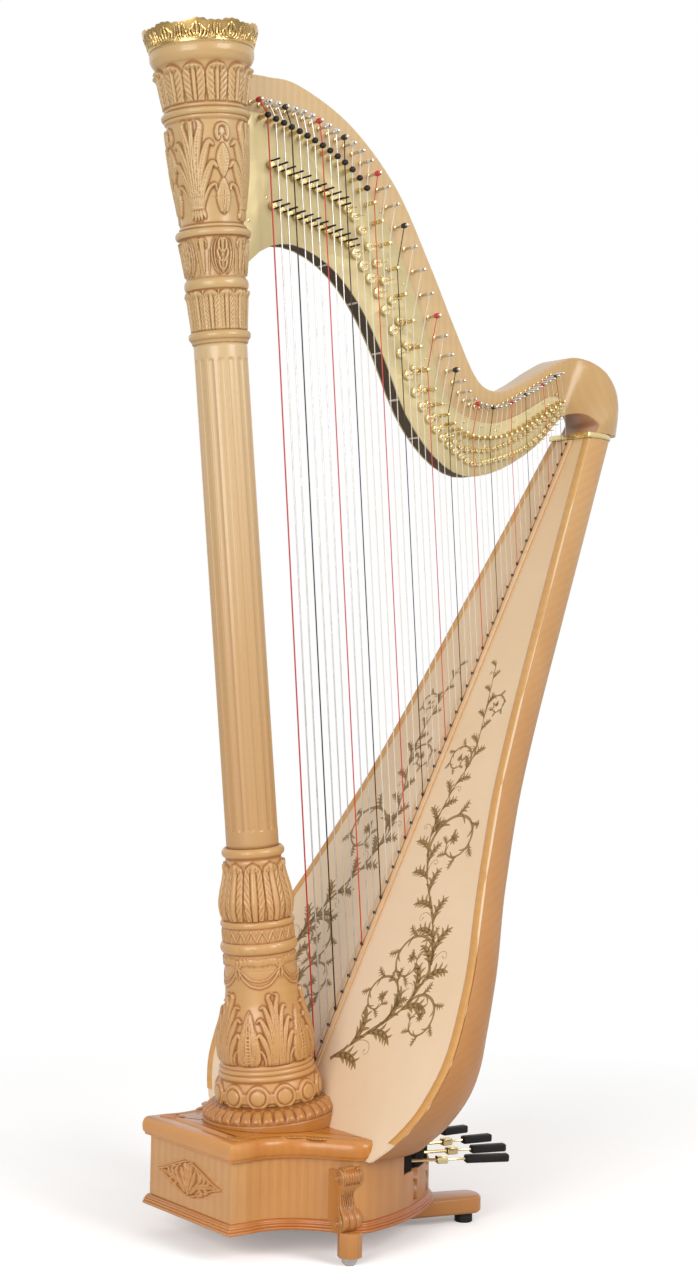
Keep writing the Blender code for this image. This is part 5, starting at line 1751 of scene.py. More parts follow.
@dataclass
class Base:
    """The base: plinth, casing, top plate, feet, cartouche and corner carving."""

    foot_x: float = 0.012
    foot_y: float = 0.197
    foot_face: float = 0.180  # where a scroll bracket's carved face starts
    panel_x: float = -0.143
    cartouche_half: tuple[float, float] = (0.090, 0.0275)
    cartouche_z: float = 0.1045
    spray_z: float = 0.1789
    pad_at: tuple[float, float] = (0.3201, 0.0808)
    plinth_steps: Row = ((-.030, .0446), (.0064, .0446), (.0076, .0452), (.0080, .0462),
                         (.0080, .0484), (.0075, .0492), (.0064, .0495), (.0066, .0499),
                         (.0070, .0510), (.0070, .0524), (.0063, .0533), (.0052, .0536),
                         (.0054, .0541), (.0056, .0552), (.0050, .0565), (.0038, .0570),
                         (.0036, .0578), (.0030, .0590), (.0016, .0598), (.0006, .0605),
                         (-.030, .0605))
    top_steps: Row = ((-.030, .1500), (.0030, .1500), (.0062, .1504), (.0070, .1512),
                      (.0070, .1532), (.0074, .1540), (.0088, .1552), (.0096, .1580),
                      (.0100, .1620), (.0100, .1660), (.0094, .1705), (.0082, .1740),
                      (.0062, .1768), (.0036, .1784), (.0006, .1791), (-.0100, .1791),
                      (-.0106, .1784), (-.0112, .1784), (-.0118, .1791), (-.030, .1791))

    def build(self) -> None:
        """Build every piece of the base."""
        plinth = self.moulding("base_plinth_moulded", self.plinth_steps)
        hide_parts("base_plinth")
        place(plinth, PLINTH, "plinth_maple")
        place(from_node("base_casing", "base_casing_curly", 22), CASING, "casing_maple")
        self.build_top()
        place(from_node("pedal_felt", "pedal_felt_lining", 25), FELT, "pedal_felt")
        place(from_node("pedal_rail", "pedal_rail_bar", 30), INNER, "rail_maple")
        self.build_cartouche()
        self.build_corner_sprays()
        for side, sign in (("left", -1), ("right", 1)):
            self.build_scroll_foot(side, sign)
            foot = from_node(f"rear_foot_{side}", f"rear_foot_{side}_toe", 40, .0012)
            place(foot, FEET, "foot_maple")

    def moulding(self, name: str, steps: Row) -> bpy.types.Object:
        """Sweep a moulded edge round the base's plan and close it.

        Args:
            name: The piece's name.
            steps: Rows of (overhang, height), bottom to top.

        Returns:
            The closed piece.
        """
        rings = []
        for overhang, z in steps:
            rings.append([(p.x, p.y, z) for p in base_plan(overhang)])
        made = loft(name, rings)
        shade(made, 50)
        return made

    def build_top(self) -> None:
        """Build the top plate: bullnose over cove, cut off at the board and bored."""
        top = self.moulding("base_top_bullnose", self.top_steps)
        for vert in top.data.vertices:
            limit = board_x(vert.co.z) + HARP_X - 2 * FIT
            vert.co.x = min(vert.co.x, limit)
        tidy_normals(top, 1e-5)
        drill = primitive("cylinder", vertices=32, radius=BORE, depth=0.2)
        cut(top, moved(drill, COLUMN))
        shade(top, 50)
        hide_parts("base_top")
        place(top, TOP, "top_maple")

    def build_cartouche(self) -> None:
        """Carve a pointed oval of leaves round a shell on the front panel."""
        wide, high = self.cartouche_half
        shares, turns = np.linspace(0.01, 1.0, 60), np.linspace(0, TAU, 300, endpoint=False)
        grid_r, grid_t = np.meshgrid(shares, turns, indexing="ij")
        shape = 1 / (np.abs(np.cos(grid_t)) ** 1.5 + np.abs(np.sin(grid_t)) ** 1.5) ** .667
        shape *= 1 + 0.045 * np.cos(14 * grid_t) + 0.03 * np.cos(6 * grid_t)
        u = grid_r * shape * np.cos(grid_t) / 2
        v = 0.5 + grid_r * shape * np.sin(grid_t) / 2
        carve = CARTOUCHE(u, v, wide / high) * 0.0052 + 0.0008
        hollow = hollows(carve, .0006)
        carve = np.where(grid_r > 0.985, -0.0006, carve)
        x = np.full_like(u, self.panel_x + HARP_X) - carve
        front = np.stack([x, -2 * u * wide, (2 * v - 1) * high + self.cartouche_z], -1)
        back = front[-1:].copy()
        back[..., 0] += 0.0008
        made = grid_object("front_cartouche", np.concatenate([front, back]),
                           np.vstack([hollow, hollow[-1:]]), capped=True)
        tidy_normals(made)
        place(made, CASING_CARVED, "casing_maple")

    def build_corner_sprays(self) -> None:
        """Lay leaf sprays on the top plate's front corners, beside the disc."""
        leaves = []
        for sign in (-1, 1):
            corner = Vector((-0.134 + HARP_X, sign * 0.106, self.spray_z))
            for k, (turn, length, wide) in enumerate(((0.0, .038, .0080), (0.55, .030, .0062),
                                                      (-0.55, .030, .0062))):
                way = Vector((0.70, -sign * 0.60, 0)).normalized()
                way.rotate(Matrix.Rotation(turn, 3, "Z"))
                path = [corner + way * (0.003 + length * i / 16) for i in range(17)]
                leaves.append(leaf_sheet(f"corner_leaf_{k}", path, wide))
            for end, way, length in (((-0.060, 0.116), (0.8, 0.55), 0.040),
                                     ((-0.030, 0.142), (0.60, 0.75), 0.030)):
                root = Vector((end[0] + HARP_X, sign * end[1], self.spray_z))
                aim = Vector((way[0], sign * way[1], 0)).normalized()
                path = [root + aim * length * i / 16 for i in range(17)]
                leaves.append(leaf_sheet("side_leaf", path, .0065))
        place(joined("top_leaf_sprays", leaves), TOP, "top_maple")

    def build_scroll_foot(self, side: str, sign: int) -> None:
        """Dress a scroll bracket: reeded rolls, a spreading leaf, ears and volutes.

        Args:
            side: The side's name.
            sign: The side's sign along Y.
        """
        foot = from_node(f"scroll_foot_{side}", f"scroll_foot_{side}_bracket", 38, .0008)
        place(foot, FEET, "foot_maple")
        u, v = np.meshgrid(np.linspace(-.5, .5, 61), np.linspace(0, 1, 121))
        line = smooth([(.0138, .1420), (.0150, .1385), (.0210, .1345), (.0235, .1275),
                       (.0215, .1200), (.0150, .1140), (.0115, .1050), (.0110, .0950),
                       (.0125, .0850), (.0165, .0775), (.0215, .0700), (.0230, .0610),
                       (.0205, .0520), (.0150, .0470)], 10)
        reach = np.interp(v[:, 0], np.linspace(0, 1, len(line)), [p.x for p in line])
        drop = np.interp(v[:, 0], np.linspace(0, 1, len(line)), [p.y for p in line])
        carve = FOOT_LEAF(u, v, 2.9)
        roll = np.exp(-((v - .20) / .105) ** 4)
        low_roll = np.exp(-((v - .80) / .13) ** 4)
        reeds = np.abs(np.cos(np.pi * 7 * u)) ** 0.6
        lobes = np.abs(np.sin(np.pi * 3 * (u + .5))) ** 0.5
        deep = carve * (1 - roll) * (1 - low_roll) * .0032
        deep += roll * (reeds * .0012 - (np.abs(u) / .5) ** 4 * .0045)
        deep += low_roll * lobes * .0028
        deep = np.where(np.abs(u) > .49, -.0012, deep)
        hollow = hollows(deep, .0007)
        across = u * (.0338 - .004 * np.exp(-((v - .45) / .2) ** 2))
        front = np.stack([across + self.foot_x + HARP_X,
                          sign * (self.foot_face + reach[:, None] + deep),
                          drop[:, None] + 0 * u], -1)
        back = front.copy()
        back[..., 1] = sign * (self.foot_face + reach[:, None] - .0035)
        ring = np.concatenate([front, back[:, ::-1]], axis=1)
        skin = grid_object("foot_face", ring, np.hstack([hollow, hollow[:, ::-1]]),
                           capped=True)
        tidy_normals(skin)
        pieces = [skin]
        x = self.foot_x + HARP_X
        for height, out, size in ((.1275, .0110, .0108), (.0610, .0105, .0104)):
            for face in (-1, 1):
                turn = Matrix.Rotation(face * math.pi / 2, 4, "Y")
                spot = Matrix.Translation((x + face * .0166, sign * (self.foot_face + out),
                                           height))
                pieces.append(moved(self.volute(size), spot @ turn))
        place(joined(f"scroll_foot_{side}_carving", pieces), FEET, "foot_maple")
        cup = spun("cup", ((0, 0), (.0060, 0), (.0088, .0014), (.0110, .0050),
                           (.0122, .0104), (.0122, .0119), (0, .0119)), 24)
        place(copies(cup, [Matrix.Translation((x, sign * self.foot_y, 0))],
                     f"scroll_foot_{side}_glide"), STEEL, "foot_maple")
        at = (self.pad_at[0] + HARP_X, sign * self.pad_at[1], 0)
        pad = spun("pad", ((0, 0), (.0128, 0), (.0142, .0012), (.0142, .0138),
                           (.0132, .0150), (0, .0150)), 28)
        place(copies(pad, [Matrix.Translation(at)], f"rear_foot_{side}_pad"), RUBBER,
              "foot_maple")

    @staticmethod
    def volute(size: float) -> bpy.types.Object:
        """Carve a spiral disc that faces along Z.

        Args:
            size: Its radius.

        Returns:
            The disc at the origin.
        """
        radii, turns = np.linspace(0.04, 1, 22), np.linspace(0, TAU, 64, endpoint=False)
        grid_r, grid_t = np.meshgrid(radii, turns, indexing="ij")
        phase = (grid_r * 2.6 + grid_t / TAU) % 1.0
        ridge = np.sqrt(np.abs(np.sin(np.pi * phase)))
        eye = np.exp(-(grid_r / 0.22) ** 2)
        height = np.maximum(0.75 * ridge * (1 - 0.25 * grid_r), 1.1 * eye) * 0.0030
        height = np.where(grid_r > 0.99, -0.0015, height)
        points = np.stack([grid_r * size * np.cos(grid_t), grid_r * size * np.sin(grid_t),
                           height], -1)
        # painted shade in the spiral's grooves
        hollow = np.clip(1 - 1.5 * ridge, 0, 1) * (1 - eye)
        made = grid_object("volute", points, hollow, capped=True)
        tidy_normals(made)
        return made


@dataclass
class Soundbox:
    """The soundbox: curly shell with its holes, board, borders, rib, eyelets and paint."""

    wall: float = 0.005
    roundness: float = 2.4
    steps: int = 52
    border: float = 0.0145
    border_proud: float = 0.0008
    border_ends: tuple[float, float] = (0.1812, 1.2735)
    least_inner: float = 0.018  # from the rib's middle to a border, near the shoulder
    lip_radius: float = 0.0022
    lip_proud: float = 0.0012

    def build(self) -> None:
        """Build every piece of the soundbox."""
        self.build_shell()
        place(from_node("soundboard", "soundboard_spruce", 30), SPRUCE, "board_spruce")
        place(from_node("soundbox_bottom", "soundbox_floor", 30), INNER, "inner_maple")
        place(from_node("soundbox_brace", "soundbox_rib_brace", 30), INNER, "inner_maple")
        place(from_node("string_rib", "string_rib_bar", 30, .0009), RIB, "rib_maple")
        band = from_node("shoulder_band", "shoulder_band_trim", 40, .0005)
        place(band, TRIM, "band_brass")
        self.build_borders()
        self.build_eyelets()
        BoardPaint().build()

    def section(self, z: float, inset: float = 0.0) -> list[tuple[float, float, float]]:
        """Return half of the shell's rounded section at a height.

        Args:
            z: The height.
            inset: How far inside the shell's outside.

        Returns:
            The section's points from left to right.
        """
        front = board_x(z) + HARP_X + (BOARD_THICK + FIT) * UPRIGHT_BOARD
        width = value_at(BODY_HALF_WIDTH, z) - inset
        depth = value_at(BODY_DEPTH, z) - inset
        power = 2 / self.roundness
        points = []
        for k in range(self.steps + 1):
            turn = math.pi * (k / self.steps - 0.5)
            y = math.copysign(abs(math.sin(turn)) ** power, turn) * width
            points.append((front + max(math.cos(turn), 0.0) ** power * depth, y, z))
        return points

    def surface_x(self, y: float, z: float) -> float:
        """Return the shell's outside at a place across it and a height.

        Args:
            y: The place across it.
            z: The height.

        Returns:
            The place along X.
        """
        front = board_x(z) + HARP_X + (BOARD_THICK + FIT) * UPRIGHT_BOARD
        share = min(1.0, abs(y) / value_at(BODY_HALF_WIDTH, z)) ** self.roundness
        return front + value_at(BODY_DEPTH, z) * (1 - share) ** (1 / self.roundness)

    def build_shell(self) -> None:
        """Loft the shell, cut its sound holes and set a lip round each."""
        heights = [BODY_BOTTOM + (BODY_TOP - BODY_BOTTOM) * (k / 70) ** 1.25
                   for k in range(71)]
        rings = [[*self.section(z), *reversed(self.section(z, self.wall))] for z in heights]
        shell = loft("soundbox_shell_curly", rings)
        lips = []
        for z, wide, high in SOUND_HOLES:
            back = self.surface_x(0, z)
            tool = primitive("cylinder", vertices=56, radius=1, depth=1)
            cut(shell, moved(tool, Matrix.Translation((back + 0.01, 0, z)) @ Matrix.Diagonal(
                (0.10, wide, high, 1)) @ TURN_TO_X))
            lips.append(self.lip(z, wide, high))
        shade(shell, 40)
        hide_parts("soundbox_shell")
        place(shell, SHELL, "shell_maple")
        place(joined("sound_hole_lips", lips), BORDER, "shell_maple")

    def lip(self, z: float, wide: float, high: float) -> bpy.types.Object:
        """Lay a rounded lip on the shell round one sound hole.

        Args:
            z: The height of the hole's middle.
            wide: Half its width.
            high: Half its height.

        Returns:
            The lip.
        """
        rings = []
        for k in range(72):
            turn = TAU * k / 72
            row = []
            for j in range(10):
                a = TAU * j / 10
                grow = self.lip_radius * math.cos(a) + 0.0006
                y = (wide + grow) * math.cos(turn)
                zz = z + (high + grow) * math.sin(turn)
                row.append((self.surface_x(y, zz) + self.lip_proud * math.sin(a), y, zz))
            rings.append(row)
        made = grid_object("lip", np.array(rings), closed=True)
        tidy_normals(made)
        return made

    def build_borders(self) -> None:
        """Lay the darker strips along both edges of the soundboard."""
        strips = []
        low, high = self.border_ends
        proud = -self.border_proud
        for sign in (-1, 1):
            rings = []
            for k in range(90):
                z = low + (high - low) * k / 89
                width = value_at(BODY_HALF_WIDTH, z)
                inner = max(width - self.border, self.least_inner)
                rings.append([tuple(board_point(z, sign * y, depth)) for y, depth in (
                    (width, 0.0030), (width + 0.0004, -0.0002), (width - 0.0006, proud),
                    (inner + 0.0006, proud), (inner, -0.0003), (inner, 0.0010))])
            strips.append(loft("border", rings))
        piece = joined("soundboard_borders", strips)
        shade(piece, 50)
        place(piece, BORDER, "rib_maple")

    def build_eyelets(self) -> None:
        """Set a dark oval eyelet round each string where it goes into the rib."""
        ring = primitive("torus", major_segments=16, minor_segments=6,
                         major_radius=0.0022, minor_radius=0.0009)
        tilt = Matrix.Rotation(math.atan2(1, BOARD_SLOPE), 4, "Y")
        up = RIB_FRONT / math.sin(BOARD_TO_STRING) * math.cos(STRING_LEAN)
        places = []
        for i in range(STRINGS):
            spot = on_string(i, string_hole(i).z + up)
            size = 1.15 - 0.45 * i / (STRINGS - 1)
            places.append(Matrix.Translation(spot) @ tilt
                          @ Matrix.Diagonal((1.7 * size, size, 1.0, 1)))
        place(copies(ring, places, "rib_eyelets"), EBONY, "rib_maple")


@dataclass
class BoardPaint:
    """A generic painted vine on each half of the soundboard."""

    lift: float = 0.00018
    from_rib: float = 0.017
    from_edge: float = 0.036
    strokes: list[tuple[Array, Array]] = field(default_factory=list)

    def build(self) -> None:
        """Paint the vine on one half and its mirror image on the other."""
        self.draw_vine()
        verts: list[tuple] = []
        faces: list[list[int]] = []
        across: list[float] = []
        for sign in (-1, 1):
            for line, widths in self.strokes:
                self.lay(line, widths, sign, verts, faces, across)
        piece = new_object("board_painted_vine", verts, faces)
        set_values(piece, "across", across)
        tidy_normals(piece, 1e-7)
        place(piece, PAINT, "board_spruce")

    def lay(self, line: Array, widths: Array, sign: int, verts: list, faces: list,
            across: list) -> None:
        """Turn one stroke into a thin closed strip on the board.

        Args:
            line: Points as (distance from the rib, distance up the board).
            widths: Half the stroke's width at each point.
            sign: Which half of the board it lies on.
            verts: The piece's points, added to.
            faces: The piece's faces, added to.
            across: How far towards the stroke's edge each point lies, added to.
        """
        ways = np.gradient(line, axis=0)
        ways /= np.maximum(np.linalg.norm(ways, axis=1, keepdims=True), 1e-9)
        sides = np.stack([-ways[:, 1], ways[:, 0]], 1)
        start = len(verts)
        shares = (-1.0, -0.55, 0.0, 0.55, 1.0)
        for point, side, width in zip(line, sides, widths):
            for share in shares:
                y, up = point + side * share * width
                depth = 0.0004 if abs(share) == 1 else -self.lift
                verts.append(tuple(board_point(TOP_Z + up / UPRIGHT_BOARD, sign * y, depth)))
                across.append(min(1.0, 0.12 + 0.75 * abs(share) ** 1.4
                                  + (0.22 if share > 0 else 0.0)))
        count = len(shares)
        for i in range(len(line) - 1):
            for j in range(count):
                k = (j + 1) % count
                a, b = start + i * count + j, start + i * count + k
                faces.append([a, b, b + count, a + count])
        faces.append([start + j for j in range(count)])
        faces.append([start + (len(line) - 1) * count + j for j in reversed(range(count))])

    def stem(self, up: float) -> Array:
        """Return the main stem's place at a distance up the board.

        Args:
            up: The distance up the board.

        Returns:
            The place as (distance from the rib, distance up the board).
        """
        share = value_at(((.10, .10), (.15, .30), (.21, .54), (.28, .64), (.35, .55),
                          (.42, .37), (.49, .27), (.56, .35), (.63, .50), (.70, .46),
                          (.80, .34)), up)
        return np.array((share * value_at(BODY_HALF_WIDTH, TOP_Z + up / UPRIGHT_BOARD), up))

    def add_stroke(self, line: Array, widths: Array) -> None:
        """Keep a stroke, held clear of the rib and of the board's border.

        Args:
            line: Points as (distance from the rib, distance up the board).
            widths: Half the stroke's width at each point.
        """
        heights = TOP_Z + line[:, 1] / UPRIGHT_BOARD
        widest = np.array([value_at(BODY_HALF_WIDTH, z) for z in heights])
        line = np.stack([np.clip(line[:, 0], self.from_rib, widest - self.from_edge),
                         line[:, 1]], 1)
        self.strokes.append((line, widths + .0002))

    def draw_vine(self) -> None:
        """Draw the stem, its scrolls, leaves and tendrils."""
        ups = np.linspace(.100, .790, 110)
        stem = np.array([self.stem(up) for up in ups])
        swell = 1 + 0.25 * np.sin(ups * 90)
        self.add_stroke(stem, np.linspace(.0040, .0009, 110) * swell)
        for up, side, size in ((.165, 1, .056), (.205, -1, .050), (.268, 1, .058),
                               (.440, -1, .066), (.600, 1, .036), (.705, -1, .027)):
            self.draw_scroll(up, side, size)
        for k, up in enumerate(np.linspace(.105, .785, 30)):
            side = 1 if k % 2 else -1
            way = self.stem(up + .004) - self.stem(up)
            angle = math.atan2(way[1], way[0]) + side * 0.30
            length = .072 * (1.06 - up)
            self.draw_acanthus(self.stem(up), angle, length, length * .120, side * 1.2)
            if k % 3 == 1:
                self.draw_tendril(self.stem(up + .008), angle - side * .7, length * 1.3,
                                  -side)

    def draw_blade(self, root: Array, angle: float, length: float, half: float,
                   bend: float, count: int = 9) -> tuple[Array, Array]:
        """Draw one curved blade and return its line and the way it points.

        Args:
            root: Where it starts.
            angle: The way it starts out.
            length: Its length.
            half: Half its greatest width.
            bend: How far it turns by its tip.
            count: Its points.

        Returns:
            Its line, and the way that it points along it.
        """
        t = np.linspace(0, 1, count)
        turn = angle + bend * t ** 1.4
        steps = np.stack([np.cos(turn), np.sin(turn)], 1) * length / (count - 1)
        line = root + np.cumsum(steps, axis=0) - steps[0]
        self.add_stroke(line, half * np.sin(np.pi * (0.10 + 0.88 * t)) ** 0.8)
        return line, turn

    def draw_acanthus(self, root: Array, angle: float, length: float, half: float,
                      bend: float) -> None:
        """Draw a long leaf with lobes that spring from both its sides.

        Args:
            root: Where it starts.
            angle: The way it starts out.
            length: Its length.
            half: Half its middle's width.
            bend: How far it turns by its tip.
        """
        line, turn = self.draw_blade(root, angle, length, half, bend, 12)
        for k, scale in ((2, .32), (4, .34), (6, .30), (8, .24)):
            for side in (-1, 1):
                self.draw_blade(line[k], float(turn[k]) + side * .46, length * scale,
                                half * scale * 1.5, side * .75, 6)

    def draw_tendril(self, root: Array, angle: float, length: float, side: int) -> None:
        """Draw a thin curling tendril that ends in a small berry.

        Args:
            root: Where it starts.
            angle: The way it starts out.
            length: Its length.
            side: The way it curls.
        """
        t = np.linspace(0, 1, 26)
        turn = angle + side * 5.2 * t ** 1.8
        steps = np.stack([np.cos(turn), np.sin(turn)], 1) * (length * (1.1 - .8 * t)
                                                             / 25)[:, None]
        line = root + np.cumsum(steps, axis=0)
        self.add_stroke(line, .00055 * (1.2 - t))
        self.draw_blade(line[-1], float(turn[-1]), .0035, .0014, 0.0, 5)

    def draw_scroll(self, up: float, side: int, size: float) -> None:
        """Draw a spiral branch with leaves on its outside and a rosette at its eye.

        Args:
            up: Where on the stem it starts.
            side: The way it curls.
            size: How large it is.
        """
        root = self.stem(up)
        way = self.stem(up + .004) - root
        start = math.atan2(way[1], way[0])
        t = np.linspace(0, 1, 64)
        turn = start + side * 8.9 * t
        steps = np.stack([np.cos(turn), np.sin(turn)], 1) * (size * 0.118
                                                             * (1.05 - t))[:, None]
        line = root + np.cumsum(steps, axis=0)
        self.add_stroke(line, .0034 * (1.15 - t) * (size / .06) ** 0.6)
        for k in range(5, 56, 7):
            scale = size * (0.62 - 0.40 * k / 64)
            self.draw_acanthus(line[k], float(turn[k]) - side * .30, scale, scale * .10,
                               -side * .9)
            self.draw_blade(line[k + 2], float(turn[k + 2]) + side * .5, scale * .55,
                            scale * .07, side * .8)
        for petal in range(8):
            angle = TAU * petal / 8 + 0.3
            self.draw_blade(line[-1], angle, size * 0.17, size * 0.045, 0.3, 6)


def arc_points(cs: float, cy: float, radius: float, start: float, steps: int = 4
               ) -> list[tuple[float, float]]:
    """Return a quarter circle's points in a section, turning from a starting angle.

    Args:
        cs: The circle's middle along the section.
        cy: The circle's middle along Y.
        radius: Its radius.
        start: The angle that it starts at.
        steps: Its steps.

    Returns:
        The points.
    """
    return [(cs + radius * math.cos(start + math.pi / 2 * k / steps),
             cy + radius * math.sin(start + math.pi / 2 * k / steps))
            for k in range(steps + 1)]


@dataclass
class Neck:
    """The neck with its shoulder, the channel under it and the brass plates."""

    per_span: int = 8
    edge: float = 0.004
    inner_edge: float = 0.0012
    channel_depth: float = 0.005
    half_width: float = 0.048
    roundness: float = 2.1
    flare_from: int = 11
    flare: tuple[float, ...] = (0.0, .35, .75, .96, 1.0)
    swell_from: int = 6
    swell: tuple[float, ...] = (0.0, .004, .009, .024, .038, .047, .046, .034, .018, 0.0)
    pull: tuple[float, ...] = (*(0.0,) * 11, .002, .010, .017, .018, .016)
    bars: tuple[float, ...] = (3.0, 3.97, 4.95, 5.74, 6.55)
    body: bpy.types.Object | None = None

    def faces(self, at: float) -> tuple[float, float, float]:
        """Return the near face and the far face's inner and outer edge at a station.

        Args:
            at: The station, between whole numbers too.

        Returns:
            Three places along Y.
        """
        flare = value_at([(self.flare_from + i, v) for i, v in enumerate(self.flare)], at)
        flare = flare * flare * (3 - 2 * flare) if flare < .5 else flare
        near = NECK_NEAR_Y - flare * (NECK_NEAR_Y + self.half_width)
        far_in = NECK_FAR_Y - flare * (NECK_FAR_Y - self.half_width)
        swell = value_at([(self.swell_from + i, v) for i, v in enumerate(self.swell)], at)
        return near, far_in, far_in + swell

    def build(self) -> None:
        """Build the neck, its channel and both plates."""
        outer = smooth([(x - pull, z) for (x, z), pull in zip(
            (station[0] for station in NECK_STATIONS), self.pull)], self.per_span)
        inner = smooth([station[1] for station in NECK_STATIONS], self.per_span)
        rings = []
        for i, (out, into) in enumerate(zip(outer, inner)):
            at = i / self.per_span
            near, far_in, far_out = self.faces(at)
            way = (out - into).normalized()
            depth = self.channel_depth * (1 - value_at(((9, 0.0), (10, 1.0)), at))
            into = into + way * depth
            length, r, s = (out - into).length, self.edge, self.inner_edge
            half = math.pi / 2
            side = [(length - r) * k / 9 for k in range(1, 9)]
            rise = [(s + (length - r) * (1 - k / 9),
                     far_in + (far_out - far_in) * (1 - k / 9)) for k in range(1, 9)]
            section = [*((along, near) for along in side),
                       *arc_points(length - r, near + r, r, -half),
                       *arc_points(length - r, far_out - r, r, 0.0), *rise,
                       *arc_points(s, far_in - s, s, half),
                       *arc_points(s, near + s, s, 2 * half)]
            ring = []
            rounded = value_at(((self.flare_from, 0.0), (self.flare_from + 3, 1.0)), at)
            middle = (near + far_in) / 2
            for along, y in section:
                back = 1 - min(max(along / length, 0), .995) ** self.roundness
                back **= 1 / self.roundness
                y = middle + (y - middle) * (1 - rounded * (1 - back))
                point = into + way * along
                ring.append((point.x + HARP_X, y, point.y))
            rings.append(ring)
        self.body = loft("neck_curly", rings)
        shade(self.body, 40)
        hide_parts("neck")
        place(self.body, NECK, "neck_maple")
        self.build_pocket(inner, outer)
        self.build_channel(inner, outer)
        self.build_plates()

    def build_pocket(self, inner: list[Vector], outer: list[Vector]) -> None:
        """Lay a dark reddish sheet on the shoulder's underside, past the plate's end: painted
        shade.

        Args:
            inner: The neck's inner edge in the harp's plan.
            outer: Its outer edge, with as many points.
        """
        rings = []
        for i in range(int((self.flare_from - 0.2) * self.per_span), len(inner)):
            near, far, _ = self.faces(i / self.per_span)
            way = (outer[i] - inner[i]).normalized()
            trim = 0.0035
            ring = []
            for along, y in ((-.0005, near + trim), (-.0005, far - trim),
                             (.0006, far - trim), (.0006, near + trim)):
                point = inner[i] + way * along
                ring.append((point.x + HARP_X, y, point.y))
            rings.append(ring)
        place(loft("neck_pocket_shade_sheet", rings), UNDERSIDE_SHADE, "neck_maple")

    def build_channel(self, inner: list[Vector], outer: list[Vector]) -> None:
        """Dress the stained channel and lay its five pale cross bars.

        Args:
            inner: The neck's inner edge in the harp's plan.
            outer: Its outer edge, with as many points.
        """
        place(from_node("neck_channel_cover", "neck_channel", 30), CHANNEL, "channel_dark")
        bars = []
        for at in self.bars:
            i = round(at * self.per_span)
            way = (outer[i] - inner[i]).normalized()
            run = (inner[i + 1] - inner[i - 1]).normalized()
            bar = block("bar", (.0026, NECK_FAR_Y - NECK_NEAR_Y - .001, .0016), bevel=.0005)
            spot = inner[i] + way * 0.0004
            turn = Matrix(((run.x, 0, way.x, spot.x + HARP_X),
                           (0, 1, 0, (NECK_NEAR_Y + NECK_FAR_Y) / 2),
                           (run.y, 0, way.y, spot.y), (0, 0, 0, 1)))
            bars.append(moved(bar, turn))
        place(joined("channel_cross_bars", bars), GUT, "channel_dark")

    def build_plates(self) -> None:
        """Dress both action plates and set their screws."""
        for side in ("left", "right"):
            plate = from_node(f"action_plate_{side}", f"action_plate_{side}_brass", 35, .0005)
            place(plate, BRASS, "action_plate_brass")
        screw = spun("screw", ((0, .0002), (.0021, .0002), (.0024, -.0003), (.0022, -.0008),
                               (.0012, -.0011), (0, -.0012)), 12)
        # the slot is a black strip on each head: painted shade for the groove
        slot = block("slot", (.0036, .0006, .0006), (0, 0, -.0011))
        turn = Matrix.Rotation(-math.pi / 2, 4, "X")
        spots = [(-.030, 1.600), (-.062, 1.560), (.205, 1.520), (.262, 1.404), (.306, 1.333),
                 (.350, 1.262), (.418, 1.250), (.440, 1.279), (.500, 1.280), (.556, 1.333)]
        near = [Matrix.Translation((x + HARP_X, PLATE_FACE_Y, z)) @ turn for x, z in spots]
        face = NECK_FAR_Y + FIT + .0025
        far = [Matrix.Translation((x + HARP_X, face, z)) @ Matrix.Rotation(
            math.pi / 2, 4, "X") for x, z in ((0, 1.70), (.02, 1.57), (.08, 1.66),
                                              (.12, 1.53), (.17, 1.60), (.21, 1.42),
                                              (.27, 1.46), (.30, 1.28), (.32, 1.33))]
        # screw heads point along local -Z, which both turns lay on the plates' outsides
        heads = copies(screw, [*near, *far], "plate_screws")
        place(heads, TRIM, "action_plate_brass")
        place(copies(slot, [*near, *far], "plate_screw_slots"), EBONY, "action_plate_brass")

    def far_side(self, x: float, z: float) -> float:
        """Return how far the neck's far side reaches at a place, found by a ray."""
        hit, spot, _, _ = self.body.ray_cast(Vector((x, 0.3, z)), Vector((0, -1, 0)))
        return spot.y if hit else NECK_FAR_Y


